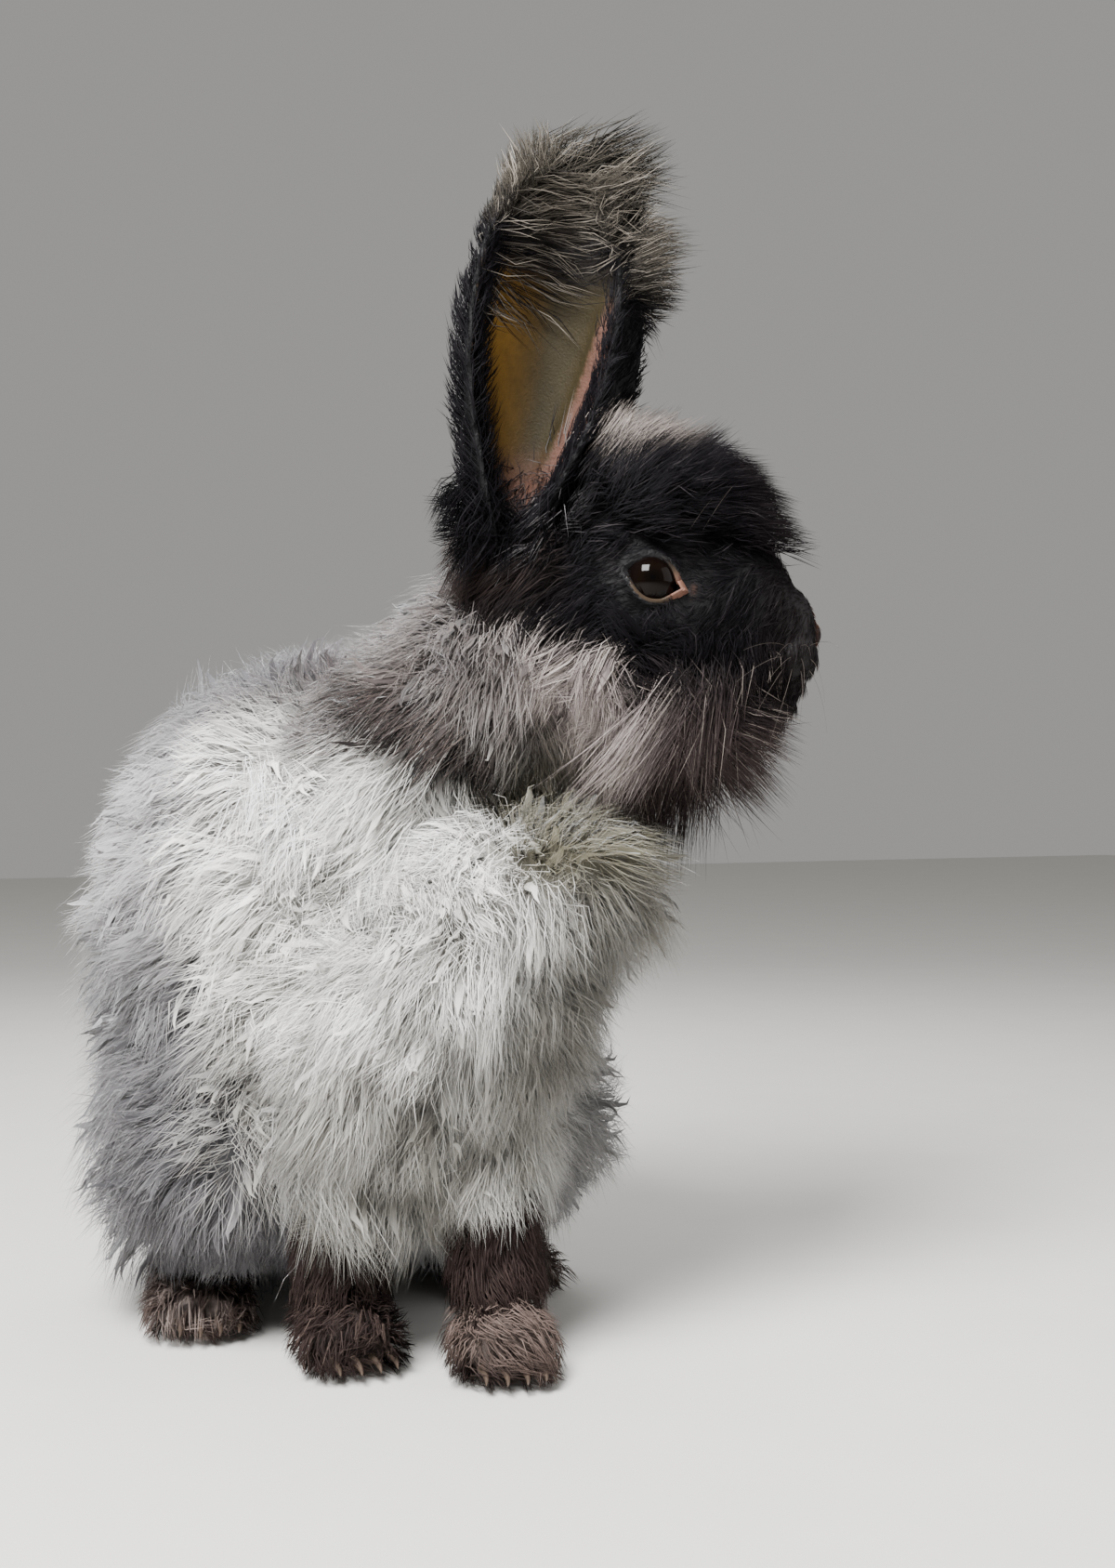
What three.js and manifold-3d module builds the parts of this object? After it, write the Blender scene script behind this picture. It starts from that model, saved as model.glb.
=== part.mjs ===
// A life-size angora rabbit, sitting upright on its four feet with its head turned to its own left.
// Millimetres. The body faces -Y, the rabbit's left is +X and +Z is up. The origin is on the floor, in the
// middle of the model's box. Each named piece is one closed solid: a core of flesh and underwool, with the long
// wool on it as flat tapered locks that are rooted in the core and reach to the coat's real outline.
import * as THREE from "three";
import { mergeVertices } from "three/addons/utils/BufferGeometryUtils.js";
import Module from "manifold-3d";

const wasm = await Module();
wasm.setup();

// Driving dimensions

const GAP = 0.3; // between pieces that touch
const TIDY = 0.1; // edges that matter less than this are taken out of the finished solids
const WOOL_TIDY = 0.7; // and out of the wool before it is cut clear of its neighbours
const BACK_HEIGHT = 230; // floor to the top of the wool on the back
const BODY_WIDTH = 186; // over the wool at the haunches
const BODY_LENGTH = 220; // over the wool, rump to shoulder
const WOOL = 19; // from the core to the tips of the body's wool
const HEAD_LENGTH = 108; // nape to nose
const HEAD_ORIGIN = [47, -13.5, 231.5]; // middle of the skull
const HEAD_HEADING = -22; // degrees from +X, so the head is turned 68 degrees to its left
const EYE_RADIUS = 8.6;
const EYE_PLACE = [14.8, 20.8, 2.6]; // in the head's frame: ahead, out to each side, up
const EAR_LENGTH = 106; // base to the leather's tip
const EAR_WIDTH = 43;
const EAR_THICKNESS = 3;
const SOLE = 0; // the level that all four feet rest on

const DEGREE = Math.PI / 180;
const UP = vector(0, 0, 1);
const DOWN = vector(0, 0, -1);
const LEFT = vector(1, 0, 0);

function vector(x, y, z) {
  return new THREE.Vector3(x, y, z);
}

// A seeded draw, so that the coat comes out alike each time.
function seeded(seed) {
  let state = seed;
  return (low, high) => {
    state = (Math.imul(state, 1664525) + 1013904223) >>> 0;
    return low + (high - low) * (state / 4294967296);
  };
}

// Solids

function solidOf(geometry) {
  const bare = geometry.clone();
  bare.deleteAttribute("normal");
  bare.deleteAttribute("uv");
  const merged = mergeVertices(outward(bare), 1e-4);
  const triVerts = new Uint32Array(merged.index.array);
  const vertProperties = new Float32Array(merged.attributes.position.array);
  return new wasm.Manifold(new wasm.Mesh({ numProp: 3, vertProperties, triVerts }));
}

// The same closed surface with its faces turned to look outwards.
function outward(geometry) {
  const indexed = geometry.index ? geometry : mergeVertices(geometry, 1e-4);
  const { position } = indexed.attributes;
  const corner = (i) => new THREE.Vector3().fromBufferAttribute(position, indexed.index.getX(i));
  let volume = 0;
  for (let i = 0; i < indexed.index.count; i += 3)
    volume += corner(i).dot(corner(i + 1).cross(corner(i + 2)));
  if (volume < 0) indexed.setIndex([...indexed.index.array].reverse());
  return indexed;
}

function geometryOf(solid) {
  const mesh = solid.getMesh();
  const geometry = new THREE.BufferGeometry();
  geometry.setAttribute("position", new THREE.BufferAttribute(new Float32Array(mesh.vertProperties), 3));
  geometry.setIndex(new THREE.BufferAttribute(new Uint32Array(mesh.triVerts), 1));
  geometry.computeVertexNormals();
  return geometry;
}

function joined(solids) {
  return wasm.Manifold.union(solids);
}

// The largest closed surface, which also fills a hollow that fusing sealed.
function largest(solid) {
  const shells = solid.decompose();
  return shells.reduce((best, shell) => (shell.volume() > best.volume() ? shell : best));
}

// A closed body from rings of points and a pole past each end.
function skinned(rings, firstPole, lastPole) {
  const sides = rings[0].length;
  const points = [...rings.flat(), firstPole, lastPole];
  const faces = [];
  const start = rings.length * sides;
  rings.slice(1).forEach((_, i) => {
    for (let j = 0; j < sides; j++) {
      const next = (j + 1) % sides;
      const low = i * sides;
      const high = low + sides;
      faces.push(low + j, low + next, high + j, low + next, high + next, high + j);
    }
  });
  for (let j = 0; j < sides; j++) {
    const next = (j + 1) % sides;
    const last = start - sides;
    faces.push(start, next, j, start + 1, last + j, last + next);
  }
  return outward(new THREE.BufferGeometry().setFromPoints(points).setIndex(faces));
}

// A closed body through round stations. A station is [x, y, z, half, top, bottom]: its middle, its half-width
// along across, and its reach along across × path and the other way. Sections face the path, or ahead if it is
// given, and the ends are rounded off over the caps' lengths.
function loft(stations, across, shape, grow = 0) {
  const { rings = 8, sides = 16, caps = [8, 8], power = 2, ahead = null } = shape;
  const middles = new THREE.CatmullRomCurve3(stations.map((station) => vector(...station.slice(0, 3))));
  const sizes = new THREE.CatmullRomCurve3(stations.map((station) => vector(...station.slice(3))));
  const capTurns = [65, 35];
  const section = (t, shrink, shift) => {
    const along = ahead ? ahead.clone() : middles.getTangent(t);
    const side = across.clone().addScaledVector(along, -across.dot(along)).normalize();
    const top = side.clone().cross(along);
    const size = sizes.getPoint(t).addScalar(grow).multiplyScalar(shrink);
    const middle = middles.getPoint(t).addScaledVector(along, shift);
    return Array.from({ length: sides }, (_, j) => {
      const turn = (2 * Math.PI * j) / sides;
      const reach = (value) => Math.sign(value) * Math.abs(value) ** (2 / power);
      const lift = reach(Math.sin(turn)) * (Math.sin(turn) > 0 ? size.y : size.z);
      return middle
        .clone()
        .addScaledVector(side, reach(Math.cos(turn)) * size.x)
        .addScaledVector(top, lift);
    });
  };
  const capped = (t, length, sign) =>
    capTurns.map((turn) => section(t, Math.cos(turn * DEGREE), sign * length * Math.sin(turn * DEGREE)));
  const [first, last] = caps.map((cap) => cap + grow);
  const body = Array.from({ length: rings + 1 }, (_, i) => section(i / rings, 1, 0));
  const pole = (t, shift) => middles.getPoint(t).addScaledVector(ahead || middles.getTangent(t), shift);
  const all = [...capped(0, first, -1), ...body, ...capped(1, last, 1).reverse()];
  return skinned(all, pole(0, -first), pole(1, last));
}

// An ellipsoid of the given half sizes, turned and then placed.
function ball(middle, halves, { turn = [0, 0, 0], sides = 16 } = {}, grow = 0) {
  const geometry = new THREE.SphereGeometry(1, sides, Math.round(sides * 0.62));
  geometry.scale(...halves.map((half) => half + grow));
  const angles = new THREE.Euler(...turn.map((angle) => angle * DEGREE));
  geometry.applyMatrix4(new THREE.Matrix4().makeRotationFromEuler(angles));
  return geometry.translate(...middle);
}

// Frames of the head and of its ears

const headFrame = new THREE.Matrix4()
  .makeRotationZ(HEAD_HEADING * DEGREE)
  .setPosition(...HEAD_ORIGIN);
const inHead = (x, y, z) => vector(x, y, z).applyMatrix4(headFrame);
const headWay = (x, y, z) => vector(x, y, z).transformDirection(headFrame);
const HEAD_AHEAD = headWay(1, 0, 0);
const HEAD_RIGHT = headWay(0, -1, 0);

// Flesh: one function for each piece's core, grown all round by the given amount

const half = BODY_WIDTH / 2 - WOOL;
const reach = BODY_LENGTH / 2 - WOOL;
const TORSO_STATIONS = [
  // x, y, z, half-width, towards the chest, towards the rump
  [0, 92, 30, half * 0.6, reach * 0.72, reach * 0.78],
  [0, 92, 56, half * 0.86, reach * 0.98, reach],
  [0, 91, 92, half * 0.96, reach, reach],
  [0, 90, 130, half * 0.98, reach * 0.96, reach * 0.97],
  [0, 87, 160, half * 0.91, reach * 0.86, reach * 0.96],
  [0, 82, 185, half * 0.72, reach * 0.7, reach * 0.92],
  [0, 78, BACK_HEIGHT - WOOL - 8, half * 0.44, reach * 0.42, reach * 0.66],
];

function torsoForm(grow) {
  return loft(TORSO_STATIONS, LEFT, { rings: 7, sides: 16, caps: [9, 7], power: 2.15, ahead: UP }, grow);
}

const CHEST_STATIONS = [
  [-4, 10, 56, 33, 20, 26],
  [-3, 8, 78, 39, 29, 36],
  [3, 2, 102, 41, 35, 40],
  [13, -6, 128, 37, 35, 40],
  [31, -15, 152, 34, 30, 36],
];

function chestForm(grow) {
  return loft(CHEST_STATIONS, LEFT, { rings: 5, sides: 14, caps: [12, 11], ahead: UP }, grow);
}

const NECK_STATIONS = [
  [3, 34, 150, 42, 36, 40],
  [8, 22, 174, 38, 32, 37],
  [16, 8, 197, 32, 28, 32],
  [25, -2, 215, 25, 23, 26],
];

function neckForm(grow) {
  return loft(NECK_STATIONS, LEFT, { rings: 5, sides: 14, caps: [12, 12] }, grow);
}

const SKULL_STATIONS = [
  // ahead, left, up, half-width, top, bottom, in the head's frame
  [-28, 0, 3, 18, 21, 23],
  [-14, 0, 1, 24.5, 34, 34],
  [2, 0, 0, 27.5, 40.5, 40],
  [18, 0, -1, 27.5, 40.5, 40],
  [32, 0, -2, 24.5, 36.5, 38],
  [44, 0, -4, 21, 31, 33],
  [54, 0, -8, 18, 24.5, 27],
  [62, 0, -12, 14, 16, 21],
];

function skullForm(grow) {
  const front = 8;
  const nape = HEAD_LENGTH - (SKULL_STATIONS.at(-1)[0] - SKULL_STATIONS[0][0] + front);
  const shape = { rings: 8, sides: 18, caps: [nape, front], ahead: LEFT };
  return loft(SKULL_STATIONS, vector(0, -1, 0), shape, grow).applyMatrix4(headFrame);
}

function haunchForm(side) {
  return (grow) => ball([side * 44, 79, 57], [34, 60, 41], { turn: [-9, 0, side * 7], sides: 12 }, grow);
}

const PAW_HALF_WIDTH = 16.5;
const FORELEGS = {
  right: { elbow: [-24, 22, 88], wrist: [-25, 13, 24], toes: [-25.5, -8] },
  left: { elbow: [17, 2, 88], wrist: [15, -13, 24], toes: [9.5, -36] },
};

function forelegForm({ elbow, wrist }) {
  const stations = [
    [...elbow, 16, 17, 18],
    [(elbow[0] + wrist[0]) / 2, (elbow[1] + wrist[1]) / 2, 56, 14, 14, 15],
    [...wrist, 14, 13.5, 14],
  ];
  return (grow) => loft(stations, LEFT, { rings: 3, sides: 10, caps: [8, 6] }, grow);
}

function pawForm({ wrist, toes }) {
  const stations = [
    [wrist[0], wrist[1] + 3, 11, PAW_HALF_WIDTH - 2, 15, 13],
    [(wrist[0] + toes[0]) / 2, (wrist[1] + toes[1]) / 2, 9, PAW_HALF_WIDTH, 14, 11],
    [toes[0], toes[1] + 7, 6.5, PAW_HALF_WIDTH - 1, 9.5, 8],
  ];
  return (grow) => loft(stations, LEFT.clone().negate(), { rings: 3, sides: 12, caps: [9, 7] }, grow);
}

function pawFlesh(leg) {
  const foot = { toes: leg.toes, from: leg.wrist, halfWidth: PAW_HALF_WIDTH - 2, height: 6.5, front: 1 };
  const whole = joined([solidOf(pawForm(leg)(0)), ...claws(foot)]);
  return clefts(foot).reduce((left, cut) => left.subtract(cut), whole);
}

const HIND_FEET = {
  right: { heel: [-44, 112], toes: [-57, 46] },
  left: { heel: [48, 112], toes: [54, 48] },
};

function hindFootForm({ heel, toes }) {
  const stations = [
    [...heel, 12, 12, 14, 14],
    [(heel[0] + toes[0]) / 2, (heel[1] + toes[1]) / 2, 10, 14.5, 14, 12],
    [toes[0], toes[1] + 8, 7.5, 16, 10, 9],
  ];
  return (grow) => loft(stations, LEFT.clone().negate(), { rings: 3, sides: 12, caps: [12, 8] }, grow);
}

function hindFootFlesh(place) {
  const foot = { toes: place.toes, from: place.heel, halfWidth: 15, height: 7, front: 1.5 };
  const whole = joined([solidOf(hindFootForm(place)(0)), ...claws(foot)]);
  return clefts(foot).reduce((left, cut) => left.subtract(cut), whole);
}

function tailForm(grow) {
  return ball([0, 178, 58], [17, 15, 24], { turn: [14, 0, 0], sides: 10 }, grow);
}

// A foot's front, parted into toes by short clefts, each toe with a small claw

const TOES = 4;
const TOE_SPREAD = 0.8; // share of the foot's half-width that the toes' middles take up
const CLEFT = [15, 1.1, 30]; // length, width and height of the cut between two toes
const CLAW = { length: 9, radius: 1.3, droop: 0.35, sunk: 0.8 };

function toePlaces({ toes, from, halfWidth, height, front }) {
  const ahead = vector(toes[0] - from[0], toes[1] - from[1], 0).normalize();
  const side = UP.clone().cross(ahead);
  return (share) => {
    const back = front - Math.abs(share) ** 2 * halfWidth * 0.45;
    return vector(toes[0], toes[1], height)
      .addScaledVector(side, share * halfWidth)
      .addScaledVector(ahead, back);
  };
}

function clefts(foot) {
  const place = toePlaces(foot);
  const shares = Array.from({ length: TOES - 1 }, (_, i) => (i + 1) / (TOES / 2) - 1);
  const turn = Math.atan2(foot.toes[1] - foot.from[1], foot.toes[0] - foot.from[0]);
  return shares.map((share) => {
    const slot = new THREE.BoxGeometry(...CLEFT).rotateZ(turn);
    return solidOf(slot.translate(...place(share * TOE_SPREAD).toArray()));
  });
}

function claws(foot) {
  const place = toePlaces(foot);
  const way = vector(foot.toes[0] - foot.from[0], foot.toes[1] - foot.from[1], 0).normalize();
  way.addScaledVector(DOWN, CLAW.droop).normalize();
  const turn = new THREE.Quaternion().setFromUnitVectors(vector(0, 1, 0), way);
  return Array.from({ length: TOES }, (_, i) => {
    const share = ((i + 0.5) / (TOES / 2) - 1) * TOE_SPREAD;
    const nail = new THREE.ConeGeometry(CLAW.radius, CLAW.length, 4).applyQuaternion(turn);
    return solidOf(nail.translate(...place(share).addScaledVector(way, -CLAW.sunk).toArray()));
  });
}

// Everything lower than the sole, cut off every foot.
function underFloor() {
  const depth = 60;
  return solidOf(new THREE.BoxGeometry(600, 600, depth).translate(0, 60, SOLE - depth / 2));
}

// Head details: lids, lips, nostrils and the line of the mouth

const eyeMiddle = (side) => inHead(EYE_PLACE[0], side * EYE_PLACE[1], EYE_PLACE[2]);

function eyeForm(side) {
  const halves = [EYE_RADIUS, EYE_RADIUS, EYE_RADIUS];
  return (grow) => ball(eyeMiddle(side).toArray(), halves, { sides: 12 }, grow);
}

// The opening between the lids, an almond that dips towards the nose, cut through them from outside.
function lidOpening(side) {
  const length = 15.4;
  const height = 12.2;
  const depth = 20;
  const tilt = -24 * DEGREE;
  const almond = new THREE.Shape();
  almond.moveTo(-length / 2, 0);
  almond.quadraticCurveTo(-length * 0.12, height * 0.98, length / 2, 0);
  almond.quadraticCurveTo(length * 0.1, -height * 0.98, -length / 2, 0);
  const cut = new THREE.ExtrudeGeometry(almond, { depth, bevelEnabled: false, curveSegments: 7 });
  cut.rotateZ(tilt).rotateX(90 * DEGREE).translate(0, side > 0 ? depth : 0, 0);
  cut.translate(EYE_PLACE[0], side * EYE_PLACE[1], EYE_PLACE[2]);
  return solidOf(cut.applyMatrix4(headFrame));
}

function headBall(middle, halves, grow, turn = [0, 0, 0], sides = 10) {
  return solidOf(ball(middle, halves, { turn, sides }, grow).applyMatrix4(headFrame));
}

// The head's plain mass, without the parts that are cut into it.
function headForm(grow) {
  const pads = [-1, 1].map((side) => headBall([58.5, side * 8, -19], [10.5, 9, 9.5], grow));
  const chin = headBall([54, 0, -33], [10, 9, 6.5], grow);
  const nose = headBall([65.5, 0, -11.5], [5.5, 6.8, 5.2], grow, [0, 20, 0]);
  return joined([solidOf(skullForm(grow)), ...pads, chin, nose]);
}

function headFlesh() {
  const lidThickness = 1.5;
  const lipDepth = 3;
  const lidBall = EYE_RADIUS + lidThickness;
  const sides = [-1, 1];
  const lids = sides.map((side) => {
    const [ahead, out, up] = EYE_PLACE;
    return headBall([ahead, side * out, up], [lidBall, lidBall, lidBall], 0, [0, 0, 0], 12);
  });
  const innerMuzzle = solidOf(skullForm(-lipDepth));
  const mouth = headBall([57, 0, -28.5], [14, 16, 0.75], 0, [0, 14, 0]).subtract(innerMuzzle);
  const cleft = headBall([68, 0, -20.5], [7, 0.6, 7], 0, [0, 12, 0], 10);
  const nostril = (side) => headBall([70.5, side * 4.4, -12.2], [2.6, 0.8, 2.4], 0, [0, 0, side * 35], 8);
  const nostrils = sides.map(nostril);
  const openings = sides.map(lidOpening);
  const sockets = sides.map((side) => solidOf(eyeForm(side)(GAP)));
  const cuts = [mouth, cleft, ...nostrils, ...openings, ...sockets];
  return cuts.reduce((left, cut) => left.subtract(cut), joined([headForm(0), ...lids]));
}

// Ears: a rolled leaf, closed like a tube at its foot and opening outwards above

const EARS = {
  right: { seed: 52, foot: [-27, -17, 17], tip: [-11, -25, 122], facing: [0.12, -1, 0] },
  left: { seed: 54, foot: [-20, 17, 17], tip: [3, 33, 120], facing: [0.3, 1, 0] },
};

const { clamp, lerp } = THREE.MathUtils;
const EAR_WIDEST = 0.62; // share of the length at which the ear is widest

// Half the turn of the leaf's edge round its axis, and its radius, at a share s of the length.
const earRoll = (s) => lerp(152, 62, clamp(s / 0.8, 0, 1) ** 0.75) * DEGREE;
const earGirth = (s) => 0.42 + 0.58 * Math.sin((Math.min(1, s / EAR_WIDEST) * Math.PI) / 2);
const earTaper = (s) => Math.sqrt(Math.max(0.012, 1 - Math.max(0, (s - EAR_WIDEST) / (1 - EAR_WIDEST)) ** 2.2));

function earFrame({ foot, tip, facing }) {
  const start = inHead(...foot);
  const along = inHead(...tip).sub(start);
  const length = along.length();
  along.normalize();
  const face = headWay(...facing);
  face.addScaledVector(along, -face.dot(along)).normalize();
  const wide = along.clone().cross(face).normalize();
  return { start, along, face, wide, length };
}

// A point of the leaf: s along it, a share from -1 to 1 across it, and a depth from the middle of its
// thickness.
function earPoint({ start, along, face, wide, length }, s, share, depth) {
  const roll = earRoll(s);
  const widest = roll > Math.PI / 2 ? 1 : Math.sin(roll);
  const radius = ((EAR_WIDTH / 2) * earGirth(s) * earTaper(s)) / widest;
  const turn = share * roll;
  const centred = (radius * (1 + Math.cos(roll))) / 2;
  return start
    .clone()
    .addScaledVector(along, s * length)
    .addScaledVector(face, centred - (radius + depth) * Math.cos(turn))
    .addScaledVector(wide, (radius + depth) * Math.sin(turn));
}

function earForm(ear) {
  const frame = earFrame(ear);
  const rows = 7;
  const columns = 8;
  return (grow) => {
    const depth = EAR_THICKNESS / 2 + grow;
    const over = (2 * grow) / EAR_LENGTH;
    const along = (i) => (i / rows) ** 0.9 * (1 + over) - over / 2;
    const across = (j) => ((j / columns) * 2 - 1) * (1 + over * 3);
    const row = (i, offset) =>
      Array.from({ length: columns + 1 }, (_, j) => earPoint(frame, along(i), across(j), offset));
    const grid = (offset) => Array.from({ length: rows + 1 }, (_, i) => row(i, offset));
    const points = [...grid(depth).flat(), ...grid(-depth).flat()];
    const inner = (rows + 1) * (columns + 1);
    const at = (i, j) => i * (columns + 1) + j;
    const faces = [];
    const quad = (a, b, c, d) => faces.push(a, b, c, b, d, c);
    for (let i = 0; i < rows; i++)
      for (let j = 0; j < columns; j++) {
        quad(at(i, j), at(i, j + 1), at(i + 1, j), at(i + 1, j + 1));
        faces.push(inner + at(i, j), inner + at(i + 1, j), inner + at(i, j + 1));
        faces.push(inner + at(i, j + 1), inner + at(i + 1, j), inner + at(i + 1, j + 1));
      }
    for (let i = 0; i < rows; i++) {
      quad(at(i, 0), at(i + 1, 0), inner + at(i, 0), inner + at(i + 1, 0));
      quad(at(i + 1, columns), at(i, columns), inner + at(i + 1, columns), inner + at(i, columns));
    }
    for (let j = 0; j < columns; j++) {
      quad(at(0, j + 1), at(0, j), inner + at(0, j + 1), inner + at(0, j));
      quad(at(rows, j), at(rows, j + 1), inner + at(rows, j), inner + at(rows, j + 1));
    }
    return new THREE.BufferGeometry().setFromPoints(points).setIndex(faces);
  };
}

// Locks

const LOCK_STEPS = [0, 0.38, 0.76]; // shares of the length at which a lock has a section
const LOCK_WIDTHS = [0.6, 1, 0.72];
const LOCK_DEPTHS = [1, 1, 0.7];
const LOCK_BACK = 0.6; // how far its flat side lies under the middle, as a share of its ridge's height
const EDGE_GROWTH = 6; // its thin edges and its tip grow by more than the gap, so that they keep clear too
const RIDGE_GROWTH = 2;
const TIP_GROWTH = 3;

// A flat tapered lock of three sides, with a ridge along its back. It leaves its root along lie, lifts away
// from the surface and droops.
function lockSolid({ root, out, lie, length, width, thick, lift, droop, sunk }, grow) {
  const side = out.clone().cross(lie).normalize();
  const place = (s) => {
    const rise = Math.sin((s * Math.PI) / 2);
    const height = sunk * (rise - 1) + lift * (lift > 0 ? rise : s * s);
    const along = root.clone().addScaledVector(lie, length * s);
    return along.addScaledVector(out, height).addScaledVector(DOWN, droop * s * s);
  };
  const rings = LOCK_STEPS.map((s, i) => {
    const wide = side.clone().multiplyScalar((width / 2) * LOCK_WIDTHS[i] + grow * EDGE_GROWTH);
    const deep = out.clone().multiplyScalar((thick / 2) * LOCK_DEPTHS[i] + grow * RIDGE_GROWTH);
    const middle = place(s);
    const flat = middle.clone().addScaledVector(deep, -LOCK_BACK);
    return [flat.clone().add(wide), middle.clone().add(deep), flat.clone().sub(wide)];
  });
  const ending = place(1).sub(place(LOCK_STEPS.at(-1))).normalize();
  const tip = place(1).addScaledVector(ending, grow * TIP_GROWTH);
  return solidOf(skinned(rings, place(0).addScaledVector(lie, -grow), tip));
}

const caster = new THREE.Raycaster();
const seeThrough = new THREE.MeshBasicMaterial({ side: THREE.DoubleSide });

// How far along a ray from inside a body its skin is left for good.
function leaving(body, from, way) {
  caster.set(from, way);
  const hits = caster.intersectObject(body);
  return hits.length ? hits.at(-1).distance : 0;
}

// Whether a closed body holds a point: a ray in any slanting direction leaves it an odd number of times.
function isInside(body, point) {
  caster.set(point, vector(0.31, 0.17, 0.93).normalize());
  return caster.intersectObject(body).length % 2 === 1;
}

// Places spread evenly over a body's skin with the outward normal at each. Of several places that are drawn by
// area, the one that is farthest from those already taken is kept.
function spread(geometry, count, draw, allowed) {
  const flat = geometry.index ? geometry.toNonIndexed() : geometry;
  const corner = (i) => new THREE.Vector3().fromBufferAttribute(flat.attributes.position, i);
  const triangles = [];
  let area = 0;
  for (let i = 0; i < flat.attributes.position.count; i += 3) {
    const triangle = new THREE.Triangle(corner(i), corner(i + 1), corner(i + 2));
    const size = triangle.getArea();
    if (size < 1e-6) continue;
    area += size;
    triangles.push({ triangle, until: area });
  }
  const drawn = () => {
    const at = draw(0, area);
    const { triangle } = triangles.find(({ until }) => until >= at);
    const [u, v] = [Math.sqrt(draw(0, 1)), draw(0, 1)];
    const point = triangle.a
      .clone()
      .multiplyScalar(1 - u)
      .addScaledVector(triangle.b, u * (1 - v))
      .addScaledVector(triangle.c, u * v);
    return { point, out: triangle.getNormal(vector(0, 0, 0)) };
  };
  const [choices, patience] = [16, 40];
  const kept = [];
  const room = ({ point }) => Math.min(...kept.map((other) => other.point.distanceTo(point)), Number.MAX_VALUE);
  for (let tries = 0; kept.length < count && tries < count * patience; tries++) {
    const options = Array.from({ length: choices }, drawn).filter(allowed);
    const rooms = options.map(room);
    if (rooms.length) kept.push(options[rooms.indexOf(Math.max(...rooms))]);
  }
  return kept;
}

const TIP_CLEARANCE = 5; // tips of wool keep this far above the floor
const FLOOR_CLEARANCE = 1.5; // and all of it at least this far
const ROOT_DEPTH = 5; // how deep a root is sunk

// One lock from a place on a body. Its tip stands the coat's depth off the body and never reaches the floor.
function lockAt(body, middle, { point, out }, flow, draw, sizes) {
  const lie = flow.clone().addScaledVector(out, -flow.dot(out));
  if (lie.length() < 0.05) lie.copy(DOWN).addScaledVector(out, out.z);
  lie.normalize();
  lie.applyAxisAngle(out, draw(-0.3, 0.3));
  let length = sizes.length * draw(0.82, 1.15);
  const lowest = point.z + lie.z * length;
  if (lowest < TIP_CLEARANCE) length *= Math.max(0.3, (point.z - TIP_CLEARANCE) / (point.z - lowest));
  const toTip = point.clone().addScaledVector(lie, length).sub(middle);
  const height = toTip.length() - leaving(body, middle, toTip.clone().normalize());
  const lift = clamp(sizes.stand * draw(0.85, 1.1) - height, -length / 2, sizes.stand);
  const width = sizes.width * draw(0.85, 1.15);
  return { root: point, out, lie, length, width, thick: sizes.thick, lift, droop: 0, sunk: ROOT_DEPTH };
}

// One lock that hangs free from its place, flat side outwards.
function hangingLock({ point, out }, flow, draw, sizes) {
  const lie = flow.clone().normalize().applyAxisAngle(HEAD_AHEAD, draw(-0.1, 0.1));
  const flat = out.clone().addScaledVector(HEAD_RIGHT, draw(-sizes.sway, sizes.sway));
  flat.addScaledVector(lie, -flat.dot(lie)).normalize();
  const root = point.clone().addScaledVector(out, -ROOT_DEPTH);
  const length = sizes.length * draw(0.85, 1.1);
  const width = sizes.width * draw(0.85, 1.15);
  const droop = sizes.droop || 0;
  return { root, out: flat, lie, length, width, thick: sizes.thick, lift: 0, droop, sunk: 0 };
}

// A coat of locks over part of a body: where says which places grow it, flow says which way it lies there, and
// sway, where it is given, that it hangs free and how much its locks turn.
function coat(form, { count, seed, where, flow, ...sizes }) {
  const geometry = form(0);
  geometry.computeBoundingBox();
  const middle = geometry.boundingBox.getCenter(vector(0, 0, 0));
  const body = new THREE.Mesh(geometry, seeThrough);
  const draw = seeded(seed);
  const places = spread(geometry, count, draw, (place) => where(place.point, place.out));
  return places.map((place) => {
    const lie = flow(place.point, place.out);
    return sizes.sway ? hangingLock(place, lie, draw, sizes) : lockAt(body, middle, place, lie, draw, sizes);
  });
}

// Where the wool grows on each body and how it lies

const toHead = headFrame.clone().invert();
const BURIED = 6; // roots this near to another body would be hidden

function clearOf(...forms) {
  const others = forms.map((form) => new THREE.Mesh(form(BURIED), seeThrough));
  return (point) => others.every((other) => !isInside(other, point));
}

// Places between two heights that are clear of other bodies.
function between(low, high, ...forms) {
  const open = clearOf(...forms);
  return (point) => point.z > low && point.z < high && open(point);
}

function torsoFlow(point, out) {
  return out.z > 0.75 ? vector(0, 1, -0.3) : vector(0, 0.45, -1);
}

function chestFlow(point) {
  return vector((point.x - 8) * 0.006, -0.1, -1);
}

function ruffFlow(point, out) {
  return out.clone().multiplyScalar(0.4).add(DOWN);
}

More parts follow.
